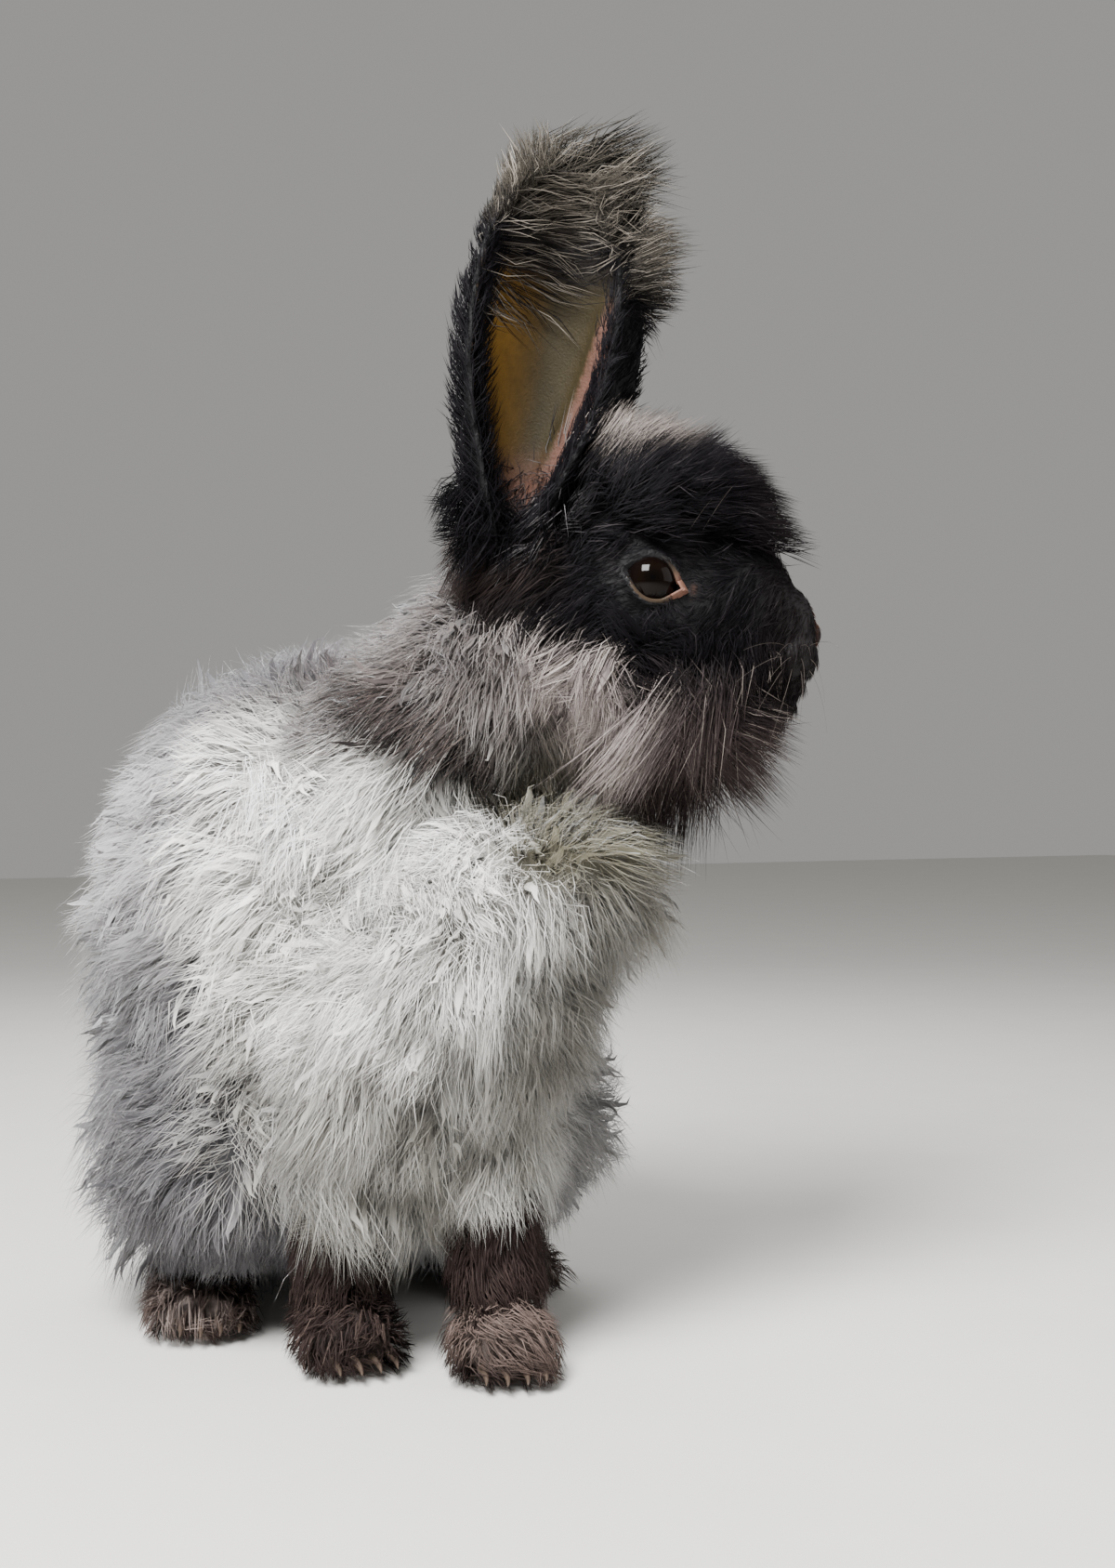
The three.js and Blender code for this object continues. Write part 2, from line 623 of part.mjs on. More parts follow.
// Wool on the head: cheeks that sweep back, a crown that hangs forward over the forehead, and a beard.
function headLocks() {
  const local = (point) => point.clone().applyMatrix4(toHead);
  const cheeks = {
    count: 13,
    seed: 31,
    where: (point) => {
      const { x, z } = local(point);
      return x < 24 && z < 26 - Math.max(0, x) * 1.3 && z > -32;
    },
    flow: (point) => headWay(-1.1, Math.sign(local(point).y) * 0.4, -0.8),
    ...{ length: 40, width: 29, thick: 7, stand: 18 },
  };
  const crown = {
    count: 6,
    seed: 37,
    where: (point) => {
      const { x, y, z } = local(point);
      return x > -20 && x < 12 && z > 25 && Math.abs(y) < 18;
    },
    flow: (point) => headWay(1, Math.sign(local(point).y) * 0.25, 0.1),
    ...{ length: 34, width: 24, thick: 8, stand: 17 },
  };
  const bangs = {
    count: 7,
    seed: 39,
    where: (point) => {
      const { x, y, z } = local(point);
      return x > 6 && x < 27 && z > 33 && Math.abs(y) < 13;
    },
    flow: (point) => headWay(1, local(point).y * 0.015, 0.28),
    ...{ length: 44, width: 18, thick: 7, droop: 14, sway: 0.25 },
  };
  const beard = {
    count: 10,
    seed: 41,
    where: (point, out) => local(point).x > 2 && local(point).x < 54 && out.z < -0.5,
    flow: () => headWay(0.02, 0, -1),
    ...{ length: 42, width: 24, thick: 7, sway: 0.9 },
  };
  return [cheeks, crown, bangs, beard].flatMap((part) => coat(skullForm, part));
}

// Wisps that stand out from the upper rim of an ear.
function earLocks(ear) {
  const frame = earFrame(ear);
  const draw = seeded(ear.seed);
  const wisps = 10;
  return Array.from({ length: wisps }, (_, i) => {
    const share = (i / (wisps - 1)) * 2 - 1;
    const s = 0.97 - 0.72 * Math.abs(share) ** 1.7;
    const root = earPoint(frame, s, share * 0.86, 0);
    const back = earPoint(frame, s, share * 0.86, 1).sub(root).normalize();
    const lie = frame.along.clone().addScaledVector(frame.wide, share * 1.1);
    lie.addScaledVector(back, -lie.dot(back)).normalize();
    const length = draw(18, 27);
    return { root, out: back, lie, length, width: 9, thick: 2.6, lift: draw(0, 5), droop: 0, sunk: 0.2 };
  });
}

// The pieces, in the order in which one's wool lies over the next one's

const pieces = new Map();

function piece(name, parts) {
  pieces.set(name, { name, roughness: 0.9, locks: () => [], ...parts });
}

const COLOURS = { wool: 0xb9b7b6, pale: 0xd6d4cf, dark: 0x2a2424, ear: 0x3a3230, eye: 0x0b0807 };
const HIND = { right: -1, left: 1 };
const haunches = { right: haunchForm(-1), left: haunchForm(1) };

piece("eye_right", { form: eyeForm(-1), colour: COLOURS.eye, pivot: eyeMiddle(-1), roughness: 0.05 });
piece("eye_left", { form: eyeForm(1), colour: COLOURS.eye, pivot: eyeMiddle(1), roughness: 0.05 });
piece("head", {
  form: skullForm,
  solid: headForm,
  flesh: headFlesh,
  colour: COLOURS.dark,
  pivot: inHead(-28, 0, 0),
  locks: headLocks,
});
for (const [side, ear] of Object.entries(EARS))
  piece("ear_" + side, {
    form: earForm(ear),
    colour: COLOURS.ear,
    pivot: inHead(...ear.foot),
    locks: () => earLocks(ear),
  });
piece("neck", {
  form: neckForm,
  colour: COLOURS.wool,
  pivot: vector(9, 18, 172),
  locks: () =>
    coat(neckForm, {
      count: 15,
      seed: 61,
      where: clearOf(skullForm, chestForm, torsoForm),
      flow: ruffFlow,
      ...{ length: 48, width: 36, thick: 9, stand: 19 },
    }),
});
piece("chest", {
  form: chestForm,
  colour: COLOURS.pale,
  pivot: vector(8, -6, 120),
  locks: () =>
    coat(chestForm, {
      count: 24,
      seed: 67,
      where: between(60, 161, torsoForm),
      flow: chestFlow,
      ...{ length: 44, width: 36, thick: 9, stand: 19 },
    }),
});
piece("torso", {
  form: torsoForm,
  colour: COLOURS.wool,
  pivot: vector(0, 90, 110),
  locks: () =>
    coat(torsoForm, {
      count: 45,
      seed: 71,
      where: clearOf(neckForm, chestForm, haunches.right, haunches.left),
      flow: torsoFlow,
      ...{ length: 54, width: 46, thick: 10, stand: 18 },
    }),
});
piece("tail", {
  form: tailForm,
  colour: COLOURS.wool,
  pivot: vector(0, 172, 50),
  locks: () =>
    coat(tailForm, {
      count: 6,
      seed: 73,
      where: clearOf(torsoForm),
      flow: () => vector(0, 0.3, -1),
      ...{ length: 26, width: 18, thick: 6, stand: 12 },
    }),
});
for (const [side, foot] of Object.entries(HIND_FEET))
  piece("hind_foot_" + side, {
    form: hindFootForm(foot),
    flesh: () => hindFootFlesh(foot),
    colour: COLOURS.dark,
    pivot: vector(foot.heel[0], foot.heel[1], 12),
  });
for (const [side, sign] of Object.entries(HIND))
  piece("haunch_" + side, {
    form: haunches[side],
    colour: COLOURS.wool,
    pivot: vector(sign * 44, 84, 62),
    locks: () =>
      coat(haunches[side], {
        count: 7,
        seed: 79 + sign,
        where: between(14, 90, torsoForm, hindFootForm(HIND_FEET[side])),
        flow: () => vector(sign * 0.1, 0.3, -1),
        ...{ length: 40, width: 38, thick: 9, stand: 19 },
      }),
  });
for (const [side, leg] of Object.entries(FORELEGS))
  piece("forepaw_" + side, {
    form: pawForm(leg),
    flesh: () => pawFlesh(leg),
    colour: COLOURS.dark,
    pivot: vector(leg.wrist[0], leg.wrist[1], 20),
  });
for (const [side, leg] of Object.entries(FORELEGS))
  piece("foreleg_" + side, {
    form: forelegForm(leg),
    colour: COLOURS.dark,
    pivot: vector(...leg.elbow),
  });

const order = [...pieces.keys()];
const grown = new Map();
const wool = new Map();
const grownWool = new Map();
for (const { name, form, solid, locks } of pieces.values()) {
  grown.set(name, solid ? solid(GAP) : solidOf(form(GAP)));
  wool.set(name, locks());
  grownWool.set(name, joined(wool.get(name).map((lock) => lockSolid(lock, GAP))));
}
const floor = underFloor();
const FEET = /^(forepaw|hind_foot)/;

// A piece's core, cut clear of those that come before it, and its wool, cut clear of every neighbour's core and
// of the wool that lies over it.
function nodeSolid(name) {
  const { form, flesh } = pieces.get(name);
  const before = order.slice(0, order.indexOf(name));
  let core = flesh ? flesh() : solidOf(form(0));
  for (const other of before) core = core.subtract(grown.get(other));
  if (FEET.test(name)) core = core.subtract(floor);
  const locks = wool.get(name).map((lock) => lockSolid(lock, 0));
  if (!locks.length) return largest(core.simplify(TIDY));
  let coatSolid = joined(locks).simplify(WOOL_TIDY);
  const others = order.filter((other) => other !== name);
  for (const other of others) coatSolid = coatSolid.subtract(grown.get(other));
  for (const other of before) coatSolid = coatSolid.subtract(grownWool.get(other));
  coatSolid = coatSolid.subtract(floor.translate(0, 0, FLOOR_CLEARANCE));
  return largest(core.add(coatSolid).simplify(TIDY));
}

const rabbit = new THREE.Group();
for (const { name, colour, roughness, pivot } of pieces.values()) {
  const geometry = geometryOf(nodeSolid(name)).translate(-pivot.x, -pivot.y, -pivot.z);
  const material = new THREE.MeshStandardMaterial({ color: colour, roughness, flatShading: true });
  const body = new THREE.Mesh(geometry, material);
  body.name = name;
  body.position.copy(pivot);
  rabbit.add(body);
}

// The origin goes to the middle of the model's box, on the floor.
const box = new THREE.Box3().setFromObject(rabbit, true);
rabbit.position.set(-(box.min.x + box.max.x) / 2, -(box.min.y + box.max.y) / 2, -box.min.z);

export default rabbit;
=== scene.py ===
"""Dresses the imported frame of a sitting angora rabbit: skin, coat, eyes, lid rims, claws and whiskers.

Shapes are worked out in millimetres in the body's own frame, where the floor is z = 0, and are put in the row
frame, in metres, when their mesh is made.
"""
import sys

import logging
import math
from collections.abc import Callable
from dataclasses import dataclass
from enum import Enum

import bpy
import numpy as np
from mathutils import Matrix, Vector
from mathutils.kdtree import KDTree

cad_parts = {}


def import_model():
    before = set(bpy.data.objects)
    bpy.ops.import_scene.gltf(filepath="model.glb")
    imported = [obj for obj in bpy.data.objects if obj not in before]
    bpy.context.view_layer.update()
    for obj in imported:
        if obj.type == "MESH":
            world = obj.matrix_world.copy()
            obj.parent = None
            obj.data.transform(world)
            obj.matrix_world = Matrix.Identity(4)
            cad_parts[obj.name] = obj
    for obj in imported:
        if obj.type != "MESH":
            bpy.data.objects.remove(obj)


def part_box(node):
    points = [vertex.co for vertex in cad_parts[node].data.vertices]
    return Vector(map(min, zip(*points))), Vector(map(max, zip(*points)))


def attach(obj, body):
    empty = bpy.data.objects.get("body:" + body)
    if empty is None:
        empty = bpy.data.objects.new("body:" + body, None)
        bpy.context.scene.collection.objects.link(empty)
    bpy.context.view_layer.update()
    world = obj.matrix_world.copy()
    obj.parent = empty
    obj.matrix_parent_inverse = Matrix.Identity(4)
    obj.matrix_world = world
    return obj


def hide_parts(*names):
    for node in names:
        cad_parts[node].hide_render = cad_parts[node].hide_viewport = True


log = logging.getLogger("rabbit")

MM = 0.001
UP = np.array([0.0, 0.0, 1.0])
HEAD_ORIGIN = np.array([47.0, -13.5, 231.5])  # the middle of the skull
HEAD_HEADING = math.radians(-22)
EYE_RADIUS = 8.6
EYE_PLACE = (14.8, 20.8, 2.6)  # ahead, out and up from the middle of the skull
LID_TILT = math.radians(-19)  # the front corner of the eye is the lower one
LUMP_SIZE = 36.0  # mm between the swells of the wool
FLOOR_CLEARANCE = 1.2  # mm


class Part(Enum):
    """Where on the body a piece of skin lies."""

    TORSO = 0
    CHEST = 1
    NECK = 2
    HEAD = 3
    EAR = 4
    HAUNCH = 5
    FORELEG = 6
    FOREPAW = 7
    HIND_FOOT = 8
    TAIL = 9


def unit(vectors: np.ndarray) -> np.ndarray:
    """The vectors at length 1."""
    return vectors / np.maximum(np.linalg.norm(vectors, axis=-1, keepdims=True), 1e-9)


def ease(low: float, high: float, values: np.ndarray) -> np.ndarray:
    """0 up to low, 1 from high on, and a smooth rise between them; low may be the larger, for a fall."""
    share = np.clip((values - low) / (high - low), 0, 1)
    return share * share * (3 - 2 * share)


def linear(hex_colour: str) -> np.ndarray:
    """An sRGB hex colour as linear red, green and blue."""
    srgb = np.array([int(hex_colour[i : i + 2], 16) / 255 for i in (1, 3, 5)])
    return np.where(srgb <= 0.04045, srgb / 12.92, ((srgb + 0.055) / 1.055) ** 2.4)


HEAD_AXES = np.array(
    [
        [math.cos(HEAD_HEADING), math.sin(HEAD_HEADING), 0],
        [-math.sin(HEAD_HEADING), math.cos(HEAD_HEADING), 0],
        [0, 0, 1],
    ]
)


def in_head(points: np.ndarray) -> np.ndarray:
    """Body points from head coordinates: ahead, left and up from the middle of the skull."""
    return HEAD_ORIGIN + np.asarray(points, float) @ HEAD_AXES


def to_head(points: np.ndarray) -> np.ndarray:
    """Head coordinates of body points."""
    return (points - HEAD_ORIGIN) @ HEAD_AXES.T


def eye_middle(sign: int) -> np.ndarray:
    """The middle of the eye on that side, in head coordinates."""
    return np.array([EYE_PLACE[0], sign * EYE_PLACE[1], EYE_PLACE[2]])


def head_way(ahead: np.ndarray | float, left: np.ndarray | float, up: np.ndarray | float) -> np.ndarray:
    """Body directions from parts ahead, left and up in the head's frame."""
    return np.stack(np.broadcast_arrays(ahead, left, up), axis=-1).astype(float) @ HEAD_AXES


def curve_through(stations: np.ndarray, shares: np.ndarray) -> np.ndarray:
    """Points of a smooth curve through the stations.

    Args:
        stations: One row a station, of any number of values.
        shares: Where along the curve, from 0 to 1.

    Returns:
        One row for each share.
    """
    last = len(stations) - 1
    padded = np.vstack([2 * stations[0] - stations[1], stations, 2 * stations[-1] - stations[-2]])
    place = np.clip(shares * last, 0, last - 1e-6)
    index = place.astype(int)
    t = (place - index)[:, None]
    a, b, c, d = (padded[index + i] for i in range(4))
    return 0.5 * (2 * b + (c - a) * t + (2 * a - 5 * b + 4 * c - d) * t**2 + (3 * b - a - 3 * c + d) * t**3)


def closed_rings(rings: np.ndarray, poles: tuple[np.ndarray, np.ndarray]) -> tuple[np.ndarray, np.ndarray]:
    """A closed skin over rings of points.

    Args:
        rings: Rings × sides × 3.
        poles: The point that closes each end.

    Returns:
        Points and triangles.
    """
    count, sides = rings.shape[:2]
    points = np.vstack([rings.reshape(-1, 3), poles[0], poles[1]])
    faces = []
    for i in range(count - 1):
        for j in range(sides):
            k = (j + 1) % sides
            low, high = i * sides, (i + 1) * sides
            faces += [(low + j, low + k, high + j), (low + k, high + k, high + j)]
    end = (count - 1) * sides
    for j in range(sides):
        k = (j + 1) % sides
        faces += [(count * sides, k, j), (count * sides + 1, end + j, end + k)]
    return points, np.array(faces)


def loft(
    stations: list,
    across: tuple,
    caps: tuple[float, float] = (8, 8),
    power: float = 2.0,
    ahead: tuple | None = None,
    grow: float = 0.0,
    rings: int = 28,
    sides: int = 40,
) -> tuple[np.ndarray, np.ndarray]:
    """A closed body through oval stations.

    Args:
        stations: Rows of x, y, z, half-width along across, and reach along across × path and the other way.
        across: The direction of the half-widths.
        caps: The length over which each end is rounded off.
        power: 2 for ovals, more for squarer sections.
        ahead: The direction that all sections face, or None to face along the path.
        grow: How far the surface is moved outwards.
        rings: Rings between the caps.
        sides: Points in a ring.

    Returns:
        Points and triangles.
    """
    rows = np.array(stations, float)
    turns = np.linspace(0, 2 * math.pi, sides, endpoint=False)
    step = 0.01  # share of the path over which its direction is read

    def reach(value: np.ndarray) -> np.ndarray:
        """How far a section of that power reaches, from the cosine or sine of the turn."""
        return np.sign(value) * np.abs(value) ** (2 / power)

    def section(share: float, shrink: float, shift: float) -> tuple[np.ndarray, np.ndarray]:
        """One ring across the path.

        Args:
            share: Where along the path, from 0 to 1.
            shrink: Its size as a share of the station's.
            shift: How far it is moved on along the path.

        Returns:
            The ring's points and its middle.
        """
        near = curve_through(rows[:, :3], np.array([share - step, share + step]).clip(0, 1))
        way = np.array(ahead, float) if ahead is not None else unit(near[1] - near[0])
        side = unit(np.array(across, float) - way * np.dot(across, way))
        top = np.cross(side, way)
        middle = curve_through(rows[:, :3], np.array([share]))[0] + way * shift
        half, high, low = (curve_through(rows[:, 3:], np.array([share]))[0] + grow) * shrink
        lift = reach(np.sin(turns)) * np.where(np.sin(turns) > 0, high, low)
        return middle + np.outer(reach(np.cos(turns)) * half, side) + np.outer(lift, top), middle

    first, last = (max(cap + grow, 1) for cap in caps)
    bends = np.radians([72, 54, 36, 18])  # the rings that round each end off
    made = [section(0, math.cos(bend), -first * math.sin(bend))[0] for bend in bends]
    made += [section(share, 1, 0)[0] for share in np.linspace(0, 1, rings)]
    made += [section(1, math.cos(bend), last * math.sin(bend))[0] for bend in bends[::-1]]
    return closed_rings(np.array(made), (section(0, 1, -first)[1], section(1, 1, last)[1]))


def turned(angles: tuple[float, float, float]) -> np.ndarray:
    """The matrix that turns by degrees about X, Y and Z, with Z's turn applied first."""
    x, y, z = (Matrix.Rotation(math.radians(angle), 3, axis) for angle, axis in zip(angles, "XYZ"))
    return np.array(x @ y @ z)


def ball(
    middle: tuple, halves: tuple, turn: tuple = (0, 0, 0), grow: float = 0.0
) -> tuple[np.ndarray, np.ndarray]:
    """A closed ellipsoid.

    Args:
        middle: Its place.
        halves: Its half sizes before it is turned.
        turn: Degrees about X, Y and Z.
        grow: How far the surface is moved outwards.

    Returns:
        Points and triangles.
    """
    sides, rings = 32, 18
    heights = np.linspace(-math.pi / 2, math.pi / 2, rings + 2)[1:-1]
    turns = np.linspace(0, 2 * math.pi, sides, endpoint=False)
    shape = np.array(
        [
            [(math.cos(h) * math.cos(t), math.cos(h) * math.sin(t), math.sin(h)) for t in turns]
            for h in heights
        ]
    )
    points, faces = closed_rings(shape, (-UP, UP))
    return (points * (np.array(halves) + grow)) @ turned(turn).T + np.array(middle), faces


# The forms of the flesh, with the sizes of the frame's own solids

HALF, REACH = 74.0, 91.0  # the torso's greatest half width, and its reach to the front and the back
TORSO = [
    [0, 92, 30, HALF * 0.6, REACH * 0.72, REACH * 0.78],
    [0, 92, 56, HALF * 0.86, REACH * 0.98, REACH],
    [0, 91, 92, HALF * 0.96, REACH, REACH],
    [0, 90, 130, HALF * 0.98, REACH * 0.96, REACH * 0.97],
    [0, 87, 160, HALF * 0.91, REACH * 0.86, REACH * 0.96],
    [0, 82, 185, HALF * 0.72, REACH * 0.7, REACH * 0.92],
    [0, 78, 203, HALF * 0.44, REACH * 0.42, REACH * 0.66],
]
CHEST = [
    [-4, 10, 56, 33, 20, 26],
    [-3, 8, 78, 39, 29, 36],
    [3, 2, 102, 41, 35, 40],
    [13, -6, 128, 37, 35, 40],
    [31, -15, 152, 34, 30, 36],
]
NECK = [
    [3, 34, 150, 42, 36, 40],
    [8, 22, 174, 38, 32, 37],
    [16, 8, 197, 32, 28, 32],
    [25, -2, 215, 25, 23, 26],
]
SKULL = [
    [-28, 0, 3, 18, 21, 23],
    [-14, 0, 1, 24.5, 34, 34],
    [2, 0, 0, 27.5, 40.5, 40],
    [18, 0, -1, 27.5, 40.5, 40],
    [32, 0, -2, 24.5, 36.5, 38],
    [44, 0, -4, 21, 31, 33],
    [54, 0, -8, 18, 24.5, 27],
    [62, 0, -12, 14, 16, 21],
]
FORELEGS = {
    "right": {"elbow": (-24, 22, 88), "wrist": (-25, 13, 24), "toes": (-25.5, -8)},
    "left": {"elbow": (17, 2, 88), "wrist": (15, -13, 24), "toes": (9.5, -36)},
}
HIND_FEET = {
    "right": {"heel": (-44, 112), "toes": (-57, 46)},
    "left": {"heel": (48, 112), "toes": (54, 48)},
}
EARS = {
    "right": {"foot": (-27, -17, 17), "tip": (-11, -25, 122), "facing": (0.12, -1, 0)},
    "left": {"foot": (-20, 17, 17), "tip": (3, 33, 120), "facing": (0.3, 1, 0)},
}
HAUNCH = {"middle": (44, 79, 57), "halves": (34, 60, 41), "turn": (-9, 0, 7)}
TAIL = {"middle": (0, 178, 58), "halves": (17, 15, 24), "turn": (14, 0, 0)}
MUZZLE = {"middle": (58.5, 8, -19), "halves": (10.5, 9, 9.5)}
CHIN = {"middle": (54, 0, -33), "halves": (10, 9, 6.5)}
NOSE = {"middle": (65.5, 0, -11.5), "halves": (5.5, 6.8, 5.2), "turn": (0, 20, 0)}
SIDES = {"right": -1, "left": 1}


def fold_place(share: np.ndarray) -> np.ndarray:
    """Where across the ear, towards its front edge, the fold inside it runs, at a share of its length."""
    return 0.22 + 0.6 * np.clip((share - 0.05) / 0.6, 0, 1)


@dataclass
class Ear:
    """A rolled leaf, closed like a tube at its foot and opening outwards above."""

    side: str
    width: float = 43.0
    closed_roll: float = 152.0  # degrees that each half is rolled up at the foot
    open_roll: float = 62.0  # and at the tip
    leather: float = 2.2  # thickness
    fold_height: float = 2.4  # of the fold inside
    fold_width: float = 0.1  # as a share of half the ear

    def __post_init__(self) -> None:
        """Finds the ear's frame from its foot, tip and facing."""
        sizes = EARS[self.side]
        self.front = -SIDES[self.side]  # the sign of across on its front edge
        self.start = in_head(np.array(sizes["foot"]))
        along = in_head(np.array(sizes["tip"])) - self.start
        self.length = float(np.linalg.norm(along))
        self.along = unit(along)
        facing = head_way(*sizes["facing"])
        self.face = unit(facing - self.along * (facing @ self.along))
        self.wide = unit(np.cross(self.along, self.face))

    def point(self, share: np.ndarray, across: np.ndarray, depth: np.ndarray) -> np.ndarray:
        """Points of the leaf.

        Args:
            share: Share of the length, from the foot.
            across: Place across the leaf, from -1 to 1.
            depth: Distance from the middle of its thickness.

        Returns:
            Body points.
        """
        widest = 0.62  # share of the length
        opening = (self.open_roll - self.closed_roll) * np.clip(share / 0.8, 0, 1) ** 0.75
        roll = np.radians(self.closed_roll + opening)
        swell = np.sin(np.minimum(1, np.maximum(share, 0) / widest) * math.pi / 2)
        half = (self.width / 2) * (0.42 + 0.58 * swell)
        taper = np.sqrt(np.maximum(0.012, 1 - np.clip((share - widest) / 0.38, 0, 1) ** 2.2))
        radius = half * taper / np.where(roll > math.pi / 2, 1, np.sin(roll))
        turn = across * roll
        centred = radius * (1 + np.cos(roll)) / 2
        deep = centred - (radius + depth) * np.cos(turn)
        out = (radius + depth) * np.sin(turn)
        return (
            self.start
            + np.multiply.outer(share * self.length, self.along)
            + deep[..., None] * self.face
            + out[..., None] * self.wide
        )

    def leaf(self) -> tuple[np.ndarray, np.ndarray, np.ndarray]:
        """The leaf as a closed shell.

        Returns:
            Points, triangles, and for each point its share along, across, and 1 on the inner face.
        """
        rows, columns, sunk = 60, 44, -0.03
        steps = np.linspace(sunk, 1, rows + 1), np.linspace(-1, 1, columns + 1)
        share, across = np.meshgrid(*steps, indexing="ij")
        back = self.point(share, across, np.full_like(share, self.leather / 2)).reshape(-1, 3)
        beside = (across * self.front - fold_place(share)) / self.fold_width
        fold = self.fold_height * np.exp(-(beside**2)) * ease(0.02, 0.1, share) * ease(0.72, 0.55, share)
        inner = self.point(share, across, -self.leather / 2 - fold).reshape(-1, 3)
        index = np.arange((rows + 1) * (columns + 1)).reshape(rows + 1, columns + 1)
        a, b, c, d = index[:-1, :-1], index[:-1, 1:], index[1:, :-1], index[1:, 1:]
        outer = np.concatenate([np.stack([a, b, c], -1), np.stack([b, d, c], -1)]).reshape(-1, 3)
        inside = outer[:, ::-1] + len(back)
        edge = np.concatenate([index[0, :], index[1:, -1], index[-1, -2::-1], index[-2:0:-1, 0]])
        after = np.roll(edge, -1)
        low = np.stack([edge, edge + len(back), after], -1)
        rim = np.concatenate([low, np.stack([after, edge + len(back), after + len(back)], -1)])
        facts = np.stack([share.ravel(), across.ravel()], -1)
        facts = np.vstack([np.c_[facts, np.zeros(len(facts))], np.c_[facts, np.ones(len(facts))]])
        return np.vstack([back, inner]), np.vstack([outer, inside, rim]), facts


class Space:
    """Turns body millimetres into the row frame's metres."""

    def __init__(self) -> None:
        """Finds where the frame puts the body, from its right eye."""
        low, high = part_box("eye_right")
        eye = (np.array(low) + np.array(high)) / 2 / MM
        self.offset = in_head(eye_middle(SIDES["right"])) - eye

    def row(self, points: np.ndarray) -> np.ndarray:
        """Body millimetres as row metres."""
        return (points - self.offset) * MM


def mesh_object(name: str, points: np.ndarray, faces: np.ndarray) -> bpy.types.Object:
    """A smooth-shaded mesh object at the origin.

    Args:
        name: Of the object.
        points: In metres.
        faces: One row of point numbers a face, all with as many corners.

    Returns:
        The new object.
    """
    mesh = bpy.data.meshes.new(name)
    mesh.vertices.add(len(points))
    mesh.vertices.foreach_set("co", np.ascontiguousarray(points, np.float32).ravel())
    mesh.loops.add(faces.size)
    mesh.loops.foreach_set("vertex_index", np.ascontiguousarray(faces, np.int32).ravel())
    mesh.polygons.add(len(faces))
    mesh.polygons.foreach_set("loop_start", np.arange(len(faces), dtype=np.int32) * faces.shape[1])
    mesh.update(calc_edges=True)
    mesh.shade_smooth()
    made = bpy.data.objects.new(name, mesh)
    bpy.context.scene.collection.objects.link(made)
    return made


def paint(made: bpy.types.Object, name: str, colours: np.ndarray) -> None:
    """Stores linear colours on the points of a mesh."""
    layer = made.data.color_attributes.new(name=name, type="FLOAT_COLOR", domain="POINT")
    layer.data.foreach_set("color", np.c_[colours, np.ones(len(colours))].astype(np.float32).ravel())


def applied(made: bpy.types.Object) -> None:
    """Replaces an object's mesh with what its modifiers make of it.

    Args:
        made: The object, whose modifiers are removed.
    """
    graph = bpy.context.evaluated_depsgraph_get()
    mesh = bpy.data.meshes.new_from_object(made.evaluated_get(graph))
    made.modifiers.clear()
    old = made.data
    made.data = mesh
    bpy.data.meshes.remove(old)


def node(
    tree: bpy.types.NodeTree, kind: str, links: dict | None = None, **settings: object
) -> bpy.types.Node:
    """Adds a node.

    Args:
        tree: The tree to add to.
        kind: The node's type name.
        links: What feeds each input: a socket to link, or a value to set.
        settings: Properties of the node.

    Returns:
        The new node.
    """
    made = tree.nodes.new(kind)
    for name, value in settings.items():
        setattr(made, name, value)
    for name, value in (links or {}).items():
        if isinstance(value, bpy.types.NodeSocket):
            tree.links.new(value, made.inputs[name])
        else:
            made.inputs[name].default_value = value
    return made


def set_stops(ramp: bpy.types.ColorRamp, stops: tuple[tuple[float, str], ...]) -> None:
    """Gives a colour ramp its stops.

    Args:
        ramp: A new ramp, with its own two stops.
        stops: The place and the hex colour of each, in order.
    """
    ramp.elements.remove(ramp.elements[0])
    for index, (at, colour) in enumerate(stops):
        element = ramp.elements[0] if index == 0 else ramp.elements.new(at)
        element.position = at
        element.color = (*linear(colour), 1)


